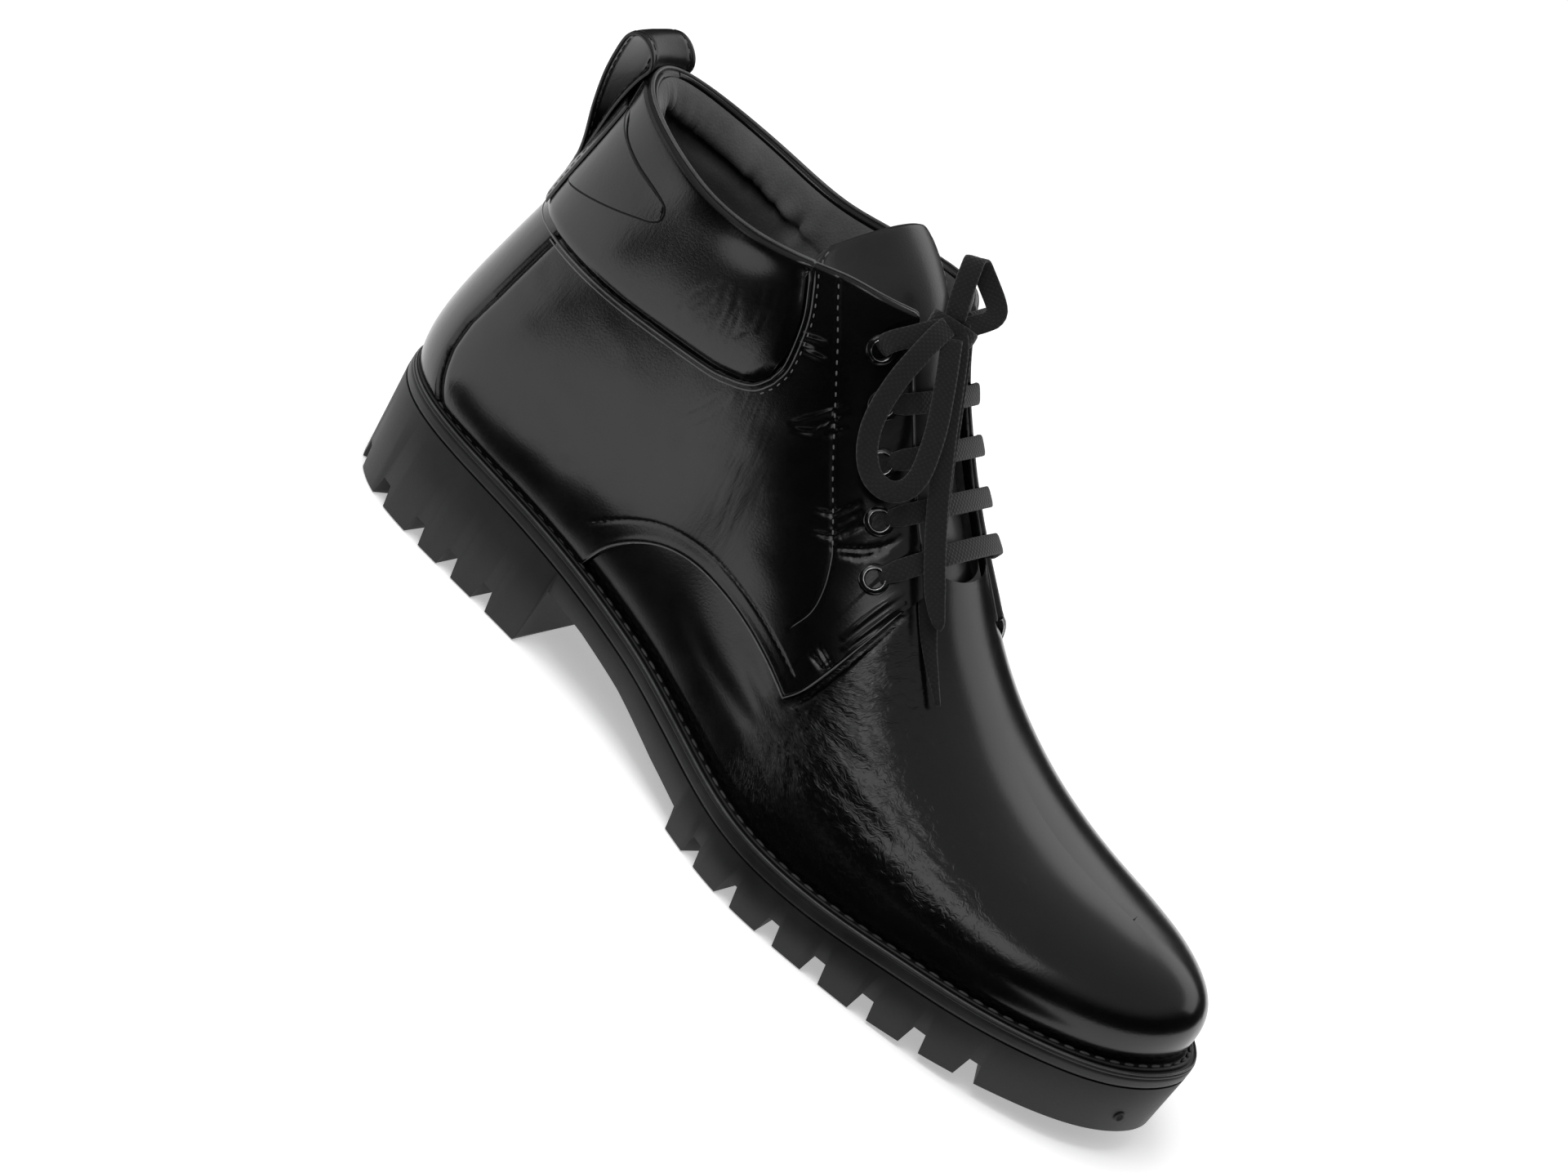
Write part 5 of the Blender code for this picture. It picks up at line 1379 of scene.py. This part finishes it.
# half thickness near the top edge and elsewhere, the seam's depth, the sag near the top, and how full the padding is
tongueLook = {"thin": 0.2, "thick": 1.3, "seam": 0.35, "sag": 0.5, "fill": 0.5, "columns": 49,
              "stitch": {"length": 2.0, "gap": 0.8, "radius": 0.28}}


def buildTongue():
    scale = (1, 1, 1, 1, 1, 1000)  # the fall is small beside the other values
    rows = smoothCurve(np.array(tongueTable, float) * scale, 90) / scale
    path, columns = rows[:, :2], tongueLook["columns"]
    along = unit(np.gradient(path, axis=0))
    inward = np.stack((-along[:, 1], along[:, 0]), axis=1)
    inward *= -np.sign(inward[:, 1:])
    share = np.linspace(-1, 1, columns)
    gone = lengthAlong(path)
    nearTop = np.clip((gone[-1] - gone) / 2.2, 0, 1)
    thick = tongueLook["thin"] + tongueLook["thick"] * np.sqrt(1 - (1 - nearTop) ** 2)
    sides = []
    for sign in (-1, 1):
        a = share if sign < 0 else share[::-1]
        y = (rows[:, 3:4] + rows[:, 4:5]) / 2 + (rows[:, 4:5] - rows[:, 3:4]) / 2 * a
        rim = np.sqrt(np.clip(1 - np.clip((np.abs(a) - 0.93) / 0.07, 0, 1) ** 2, 0.01, 1))
        seam = np.exp(-((np.abs(a) - 0.86) / 0.03) ** 2) * tongueLook["seam"]
        drop = rows[:, 5:6] * (y - rows[:, 2:3]) ** 2 + (1.5 + sign * thick[:, None] * rim - sign * seam)
        if sign < 0:
            drop -= tongueLook["sag"] * np.exp(-((gone[:, None] - gone[-1] + 20) / 7) ** 2) * (1 - a**2)
        sides.append(np.stack((rows[:, :1] + inward[:, :1] * drop, y, rows[:, 1:2] + inward[:, 1:] * drop), axis=-1))
    points = np.concatenate(sides, axis=1)
    faces = gridFaces(*points.shape[:2], wrapColumns=True).tolist()
    last = (len(path) - 1) * points.shape[1]
    faces += [tuple(reversed(range(2 * columns))), tuple(last + n for n in range(2 * columns))]
    made = addMesh("paddedTongue", points, faces, softLeather)
    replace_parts(made, "tongue")
    outward(made, (130, 0, 100))
    shown = points[24:-3, :columns]
    for number, column in enumerate((3, columns - 4)):
        line = shown[:, column]
        out = unit(np.cross(np.gradient(line, axis=0), shown[:, column + 1] - shown[:, column - 1]))
        out *= np.sign(out[:, 2:3])
        stitchLine(f"tongueStitches{number}", line, out, 0.1, **tongueLook["stitch"])
    return made


# x, z and sag of the pull loop, from its foot on the heel patch, over the top and down inside
pullTable = (
    (8, 106, 2.8), (8.2, 112, 2.8), (7.4, 118, 2.4), (5, 127, 1.6), (3.2, 136, 1), (2.6, 143.5, 0.8),
    (3.2, 149, 0.6), (5.8, 151.6, 0.7), (9.4, 151.4, 1.2), (12.2, 149, 2), (12.8, 145.8, 2.8), (11, 142, 3.4),
    (9.6, 136.5, 3.6), (9, 130, 3.4), (8.9, 122, 3.2), (8.8, 114, 3),
)
pullLook = {"half": 11.5, "waver": 0.35, "thick": 0.8, "seam": 0.22, "corners": 60, "lift": 0.66,
            "stitch": {"length": 1.8, "gap": 0.9, "radius": 0.2}}


def buildPullLoop():
    rows = smoothCurve(np.array(pullTable, float), 130)
    count, corners = len(rows), pullLook["corners"]
    along = unit(np.gradient(rows[:, :2], axis=0))
    normal = np.stack((-along[:, 1], along[:, 0]), axis=1)
    cosine, sine = np.cos(fullTurn(corners)), np.sin(fullTurn(corners))
    wide = np.sign(cosine) * np.abs(cosine) ** 0.3
    deep = np.sign(sine) * np.abs(sine) ** 0.45
    seam = np.exp(-((np.abs(wide) - 0.8) / 0.06) ** 2) * pullLook["seam"]
    half = pullLook["half"] + pullLook["waver"] * np.sin(np.linspace(0, 1, count) * 9)
    depth = deep * (pullLook["thick"] - seam)
    shift = rows[:, 2:3] * wide**2
    points = np.stack((rows[:, :1] + shift + normal[:, :1] * depth, half[:, None] * wide * np.ones_like(shift),
                       rows[:, 1:2] + normal[:, 1:] * depth), axis=-1)
    faces = gridFaces(count, corners, wrapColumns=True).tolist()
    last = (count - 1) * corners
    faces += [tuple(range(corners)), tuple(last + n for n in reversed(range(corners)))]
    made = addMesh("pullLoop", points, faces, softLeather)
    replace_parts(made, "pull_loop")
    out = -np.stack((normal[:, 0], 0 * normal[:, 0], normal[:, 1]), axis=1)
    for number, share in enumerate((-0.8, 0.8)):
        line = np.stack((rows[:, 0] + rows[:, 2] * share**2, half * share, rows[:, 1]), axis=1)
        for face, name in ((-1, "in"), (1, "out")):
            stitchLine(f"loopStitches{number}{name}", line[4:-4], out[4:-4] * face, pullLook["lift"],
                       finish=rubberThread, **pullLook["stitch"])


# radii of the hole and the rim, the crown's height, and the gleaming lip on it
eyeletLook = {"hole": 2.5, "rim": 4.4, "crown": 0.8, "lipAway": 3.0, "lip": 0.13, "corners": 48}


def eyeletProfile(seat):
    # radius and height of a rolled ring: up round the hole, over its crown and down to the leather
    hole, rim, crown = eyeletLook["hole"], eyeletLook["rim"], eyeletLook["crown"]
    profile = [(hole + 0.1, -wall - 0.2), (hole, seat - 0.6)]
    profile += [(hole + 0.55 - 0.55 * math.cos(a), seat + 0.35 + (crown - 0.35) * math.sin(a))
                for a in np.linspace(0, math.pi / 2, 6)]
    profile += [(rim - 1.35 + 1.35 * math.sin(a), seat + crown * math.cos(a))
                for a in np.linspace(0.15, math.pi / 2, 8)]
    return profile + [(rim - 0.1, seat - 0.4)]


def turnedRings(centre, normal, profile):
    # rings round a normal, from radii and heights
    first = unit(np.cross(normal, (0.0, 1.0, 0.0)))
    second = np.cross(normal, first)
    turns, (radii, heights) = fullTurn(eyeletLook["corners"]), np.transpose(profile)
    return (centre + heights[:, None, None] * normal
            + radii[:, None, None] * (np.cos(turns)[:, None] * first + np.sin(turns)[:, None] * second)[None])


def buildEyelets():
    seat, corners = panelLift + 0.1, eyeletLook["corners"]
    shade = ((0.01, seat - 0.9), (1.3, seat - 0.9), (eyeletLook["hole"] + 0.1, seat - 0.6))
    lip = [(eyeletLook["lipAway"] + eyeletLook["lip"] * math.cos(a),
            seat + eyeletLook["crown"] - 0.08 + eyeletLook["lip"] * math.sin(a)) for a in fullTurn(8)]
    for (side, pair), (centre, normal) in eyelets.items():
        tail = f"{sideNames[side].lower()}_{pair}"

        def ringPiece(name, profile, finish, closed=False):
            faces = gridFaces(len(profile), corners, wrapRows=closed, wrapColumns=True)
            return addMesh(f"{name}_{tail}", turnedRings(centre, normal, profile), faces, finish)

        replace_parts(ringPiece("eyeletRing", eyeletProfile(seat), eyeletMetal), f"eyelet_{tail}")
        # each hole holds a near-black disc of painted shade
        ringPiece("eyeletShade", shade, darkShade)
        ringPiece("eyeletLip", lip, eyeletGleam, closed=True)


# x and height of the tread from the heel's rear to the toe, with the heel's breast
treadTable = (
    (0, 0), (88, 0), (88.6, 19), (104, 17.6), (124, 14.2), (146, 9.2), (162, 6.5), (163, 0), (236, 0), (252, 1.6),
    (268, 3.4), (286, 5.6), (308, 8.4),
)
# heights of the midsole and of the lugs, widths of the side grooves at their mouth and ceiling, where they lie,
# and the small studs of the forefoot
soleLook = {"midsole": 4.5, "lug": 6.5, "mouth": 6.6, "ceiling": 3.8, "softEdge": 0.00045,
            "grooves": (26.5, 43.6, 57.8, 72.5, 174.5, 190.6, 206.7, 222.8, 238.9, 255.0, 271.1),
            "studs": ((186, -13), (186, 8), (204, -19), (204, -2), (204, 14), (223, -14), (223, 4), (241, -9),
                      (241, 8)),
            "stud": (5.4, 2.4), "heelMiddle": (40, 0), "heelHollow": 19.0, "heelDisc": 12.0}


def treadLevel(x):
    return np.interp(x, *np.transpose(treadTable))


def rowAt(x):
    # the row of the loop at which the outer side reaches x
    rows = np.linspace(0, toeRow, 1361)
    return float(np.interp(x, section(rows)[:, 0], rows))


def solid(name, points, faces):
    # a closed body whose faces all look outward
    mesh = bpy.data.meshes.new(name)
    mesh.from_pydata(place(np.asarray(points, float).reshape(-1, 3)).tolist(), [], faces)
    shape = bmesh.new()
    shape.from_mesh(mesh)
    bmesh.ops.remove_doubles(shape, verts=shape.verts, dist=0.00001)
    bmesh.ops.recalc_face_normals(shape, faces=shape.faces)
    if shape.calc_volume(signed=True) < 0:
        bmesh.ops.reverse_faces(shape, faces=shape.faces)
    shape.to_mesh(mesh)
    shape.free()
    return linked(name, mesh)


def slabMesh(name, rows, low, high, inset):
    # a slab between two heights, as wide as the sole less an inset
    rows = np.asarray(rows, float)
    x = section(rows)[:, 0]
    rings = []
    for side in (1, -1):
        bottom = edgePoint(side * rows, np.broadcast_to(inset[0](rows), rows.shape), 0 * rows)
        bottom[:, 2] = low(bottom[:, 0])
        top = edgePoint(side * rows, np.broadcast_to(inset[1](rows), rows.shape), high(rows, x))
        rings += [bottom, top] if side > 0 else [top, bottom]
    faces = []
    for i in range(len(rows) - 1):
        faces += [(4 * i + j, 4 * i + 4 + j, 4 * i + 4 + (j + 1) % 4, 4 * i + (j + 1) % 4) for j in range(4)]
    if rows[0] > 0:
        faces += [(0, 1, 2, 3), tuple(4 * len(rows) - n for n in (1, 2, 3, 4))]
    return solid(name, np.stack(rings, axis=1), faces)


def grooveMesh():
    # the cutters of the side grooves: row of the loop, and how far outside and inside the edge each reaches
    channels = [(side * rowAt(x), -3.0, 24.0) for x in soleLook["grooves"] for side in (1, -1)]
    channels += [(side * t, -4.0, 16.0) for t in (0.75, 1.4) for side in (1, -1)] + [(0.0, -4.0, 16.0)]
    channels += [(side * t, 8.0, 34.0) for t in (15.7, 16.35) for side in (1, -1)] + [(17.0, 8.0, 34.0)]
    points, faces = [], []
    for t, start, stop in channels:
        ends = [edgePoint(np.array(t), np.array(inset), np.array(0.0)) for inset in (start, stop)]
        inward = unit(ends[1] - ends[0])
        along = np.array((-inward[1], inward[0], 0.0))
        base = len(points)
        for end in ends:
            level = treadLevel(end[0])
            for half, z in ((soleLook["mouth"], -1.0), (soleLook["ceiling"], soleLook["lug"])):
                points += [end + along * sign * half / 2 + (0, 0, level + z) for sign in (-1, 1)]
        faces += [tuple(base + n for n in quad) for quad in
                  ((0, 1, 3, 2), (4, 6, 7, 5), (0, 4, 5, 1), (2, 3, 7, 6), (0, 2, 6, 4), (1, 5, 7, 3))]
    return solid("grooveTool", points, faces)


def outlineMesh(name, outlines, low, high):
    # upright bodies with these outlines
    points, faces = [], []
    for corners in outlines:
        base, count = len(points), len(corners)
        points += [(x, y, level) for level in (low, high) for x, y in corners]
        faces += [tuple(base + n for n in range(count)), tuple(base + 2 * count - 1 - n for n in range(count))]
        faces += [(base + i, base + (i + 1) % count, base + (i + 1) % count + count, base + i + count)
                  for i in range(count)]
    return solid(name, points, faces)


def starCorners(centre, radii, sides):
    turns = [math.tau * n / sides for n in range(sides)]
    return [(centre[0] + radii[n % len(radii)] * math.cos(a), centre[1] + radii[n % len(radii)] * math.sin(a))
            for n, a in enumerate(turns)]


def cutOutsole(made):
    # cuts the grooves and hollows and adds the studs, then softens the edges and keeps the result
    lug, heel = soleLook["lug"], soleLook["heelMiddle"]
    hollow = slabMesh("hollowTool", np.linspace(10.5, 15.1, 40), lambda x: 0 * x - 3.0,
                      lambda t, x: treadLevel(x) + lug - 1.5, (lambda t: 26.0, lambda t: 26.0))
    heelHollow = outlineMesh("heelTool", [starCorners(heel, (soleLook["heelHollow"],), 48)], -2.0, lug - 3.0)
    raised = [starCorners(centre, soleLook["stud"], 8) for centre in soleLook["studs"]]
    studs = outlineMesh("studTool", raised + [starCorners(heel, (soleLook["heelDisc"],), 48)], 1.2, lug + 1.5)
    steps = ((grooveMesh(), "DIFFERENCE"), (hollow, "DIFFERENCE"), (heelHollow, "DIFFERENCE"), (studs, "UNION"))
    for tool, operation in steps:
        change = made.modifiers.new(tool.name, "BOOLEAN")
        change.operation = operation
        change.solver = "EXACT"
        change.use_self = tool.name == "grooveTool"  # the grooves cross each other
        change.object = tool
    bevel = made.modifiers.new("softEdges", "BEVEL")
    bevel.width = soleLook["softEdge"]
    bevel.segments = 2
    bevel.limit_method = "ANGLE"
    bevel.angle_limit = math.radians(35)
    bevel.use_clamp_overlap = True
    shaped = bpy.data.meshes.new_from_object(made.evaluated_get(bpy.context.evaluated_depsgraph_get()))
    made.modifiers.clear()
    made.data = shaped
    for tool, _ in steps:
        bpy.data.objects.remove(tool, do_unlink=True)
    return shaped


def buildOutsole():
    breaks = [rowAt(x) for x in (88.0, 88.6, 162.0, 163.0, 236.0)]  # where the tread's table bends sharply
    rows = sorted({*np.round(np.arange(0, 1, 0.05), 3), *np.round(np.arange(1, 16, 0.125), 3),
                   *np.round(np.arange(16, 17.01, 0.05), 3), *breaks})
    made = slabMesh("outsoleRubber", rows, treadLevel, lambda t, x: section(t)[:, 2] - soleLook["midsole"] - skinGap,
                    (lambda t: section(t)[:, 3], lambda t: 0.0))
    shaped = cutOutsole(made)
    shaped.materials.clear()
    shaped.materials.append(blackRubber)
    shaped.polygons.foreach_set("use_smooth", [True] * len(shaped.polygons))
    shaped.set_sharp_from_angle(angle=math.radians(32))
    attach(made, "root")
    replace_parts(made, "outsole")
    return made


def soleRing(name, profile, finish, node):
    # a band right round the boot: insets and heights from the sole's top edge, and the share of the ledge's width
    rows = np.concatenate((np.arange(0, 1, 0.04), np.arange(1, 16, 0.08), np.arange(16, 17.001, 0.04)))
    rows = np.concatenate((rows, (loopRows - rows[::-1])[1:-1]))
    row = section(rows)
    points = np.stack([edgePoint(rows, inset + ledge * row[:, 4], row[:, 2] + height)
                       for inset, height, ledge in profile], axis=1)
    made = addMesh(name, points, gridFaces(*points.shape[:2], wrapRows=True), finish)
    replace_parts(made, node)
    outward(made, (150, 0, 25))
    return rows, row


def closedLine(line, repeats):
    # a level line right round the boot that ends on its own first points, with normals
    up = np.broadcast_to(np.array((0.0, 0.0, 1.0)), line.shape)
    return np.vstack((line, line[:repeats])), np.vstack((up, up[:repeats]))


# from below the groove line up to the ledge that the welt lies on
midsoleProfile = (
    (3.0, -4.7, 0), (0.9, -4.7, 0), (0.35, -4.5, 0), (0.08, -4.1, 0), (0.0, -3.4, 0), (0.0, -2.2, 0),
    (0.02, -1.6, 0), (0.3, -1.25, 0), (0.34, -1.1, 0), (0.12, -0.85, 0), (0.1, -0.6, 0), (0.25, -0.25, 0),
    (0.6, -0.03, 0), (1.1, 0.02, 0), (1.6, 0.0, 0), (9.5, 0.0, 0),
)


def buildMidsole():
    rows, row = soleRing("midsoleBand", midsoleProfile, midsoleRubber, "midsole")
    # the pale cord on the midsole's top edge is a painted highlight line
    seamCord("midsoleRim", *closedLine(edgePoint(rows, 0 * rows + 0.75, row[:, 2] + 0.05), 2), 0.36, 0.0, highlightLeather)


# outer edge, rounded top with the stitch channel, and the lip under the upper
weltProfile = (
    (-3.1, 0.05, 1), (-3.12, 0.5, 1), (-2.95, 0.85, 1), (-2.5, 1.0, 1), (-2.1, 0.95, 1), (-1.85, 0.8, 1),
    (-1.55, 0.72, 1), (-1.25, 0.75, 1), (-1.0, 0.75, 1), (-0.6, 0.6, 1), (-0.2, 0.4, 1), (0.2, 0.3, 1),
)
weltLook = {"channel": 1.75, "lift": 0.2, "stitch": {"length": 3.1, "gap": 1.5, "radius": 0.55}}


def buildWelt():
    rows, row = soleRing("weltStrip", weltProfile, weltLeather, "welt")
    line = edgePoint(rows, row[:, 4] - weltLook["channel"], row[:, 2] + 0.75)
    stitchLine("weltStitches", *closedLine(line, 1), weltLook["lift"], finish=rubberThread, **weltLook["stitch"])


insoleLook = {"height": 3.2, "edgeRise": 1.6, "heelCup": 0.5}


def buildInsole():
    rows = np.linspace(0, toeRow, 120)
    share = np.linspace(0, 1, 31)
    row = section(rows)
    sides = [edgePoint(sign * rows, row[:, 4] + wall + 0.4, row[:, 2] + insoleLook["height"]) for sign in (1, -1)]
    points = sides[0][:, None] * (1 - share)[None, :, None] + sides[1][:, None] * share[None, :, None]
    cup = np.exp(-((points[..., 0] - 45) / 26) ** 2) * (1 - (2 * share - 1) ** 2)
    points[..., 2] += insoleLook["edgeRise"] * np.abs(2 * share - 1) ** 5 - insoleLook["heelCup"] * cup
    made = addMesh("insoleBoard", points, gridFaces(*points.shape[:2]), greyLining)
    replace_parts(made, "insole")
    return outward(made, (150, 0, -100))


ventLook = {"row": 16.36, "height": 13.9, "radius": 1.05, "corners": 24}


def buildVent():
    # a small moulded hole in the toe's side: radii and depths of its rings, the first three its rim
    t, z, radius, corners = ventLook["row"], ventLook["height"], ventLook["radius"], ventLook["corners"]
    spot = edgePoint(np.array(t), np.array(0.0), np.array(z))
    inward = unit(edgePoint(np.array(t), np.array(2.0), np.array(z)) - spot)
    spot = spot + inward * 0.05
    level = np.cross(inward, (0.0, 0.0, 1.0))
    up = np.cross(level, inward)
    turns = fullTurn(corners)
    rings = ((radius + 0.7, 0.12), (radius + 0.35, -0.18), (radius, 0.05), (radius * 0.75, 0.1), (0.02, 0.12))
    points = np.stack([spot + inward * deep + away * (np.cos(turns)[:, None] * level + np.sin(turns)[:, None] * up)
                       for away, deep in rings])
    rim = addMesh("ventRim", points[:3], gridFaces(3, corners, wrapColumns=True), blackRubber)
    # the hole's floor is a near-black disc of painted shade
    addMesh("ventHole", points[2:], gridFaces(3, corners, wrapColumns=True), darkShade)
    return outward(rim, spot + inward * 4)


# the stitched seams over each quarter: their stitches, how high they lie, and the crease that goes on from one
seamLook = {"facing": {"length": 1.3, "gap": 1.6, "radius": 0.24}, "facingLift": panelLift - 0.1,
            "band": {"length": 1.4, "gap": 1.2, "radius": 0.16}, "bandLift": panelLift + 0.02, "crease": 0.17}


def buildSeams(side):
    name = sideNames[side]
    line, t, v = sideLine((*facingSeam[:7], facingEnd), side)
    stitchLine("facingStitches" + name, line, surfaceNormal(t, v), seamLook["facingLift"], **seamLook["facing"])
    line, t, v = sideLine(foldBand, side)
    stitchLine("bandStitches" + name, line, surfaceNormal(t, v), seamLook["bandLift"], finish=rubberThread,
               **seamLook["band"])
    line, t, v = sideLine((facingEnd, *facingSeam[7:]), side, count=60)
    # a pale cord along the crease paints its highlight line
    seamCord("facingCrease" + name, line, surfaceNormal(t, v), seamLook["crease"], panelLift - 0.12, highlightLeather)


buildTongue()
buildVent()
buildPullLoop()
buildEyelets()
buildOutsole()
buildMidsole()
buildWelt()
buildInsole()
for side in sideNames:
    buildSeams(side)
print("sole, tongue and trims built")
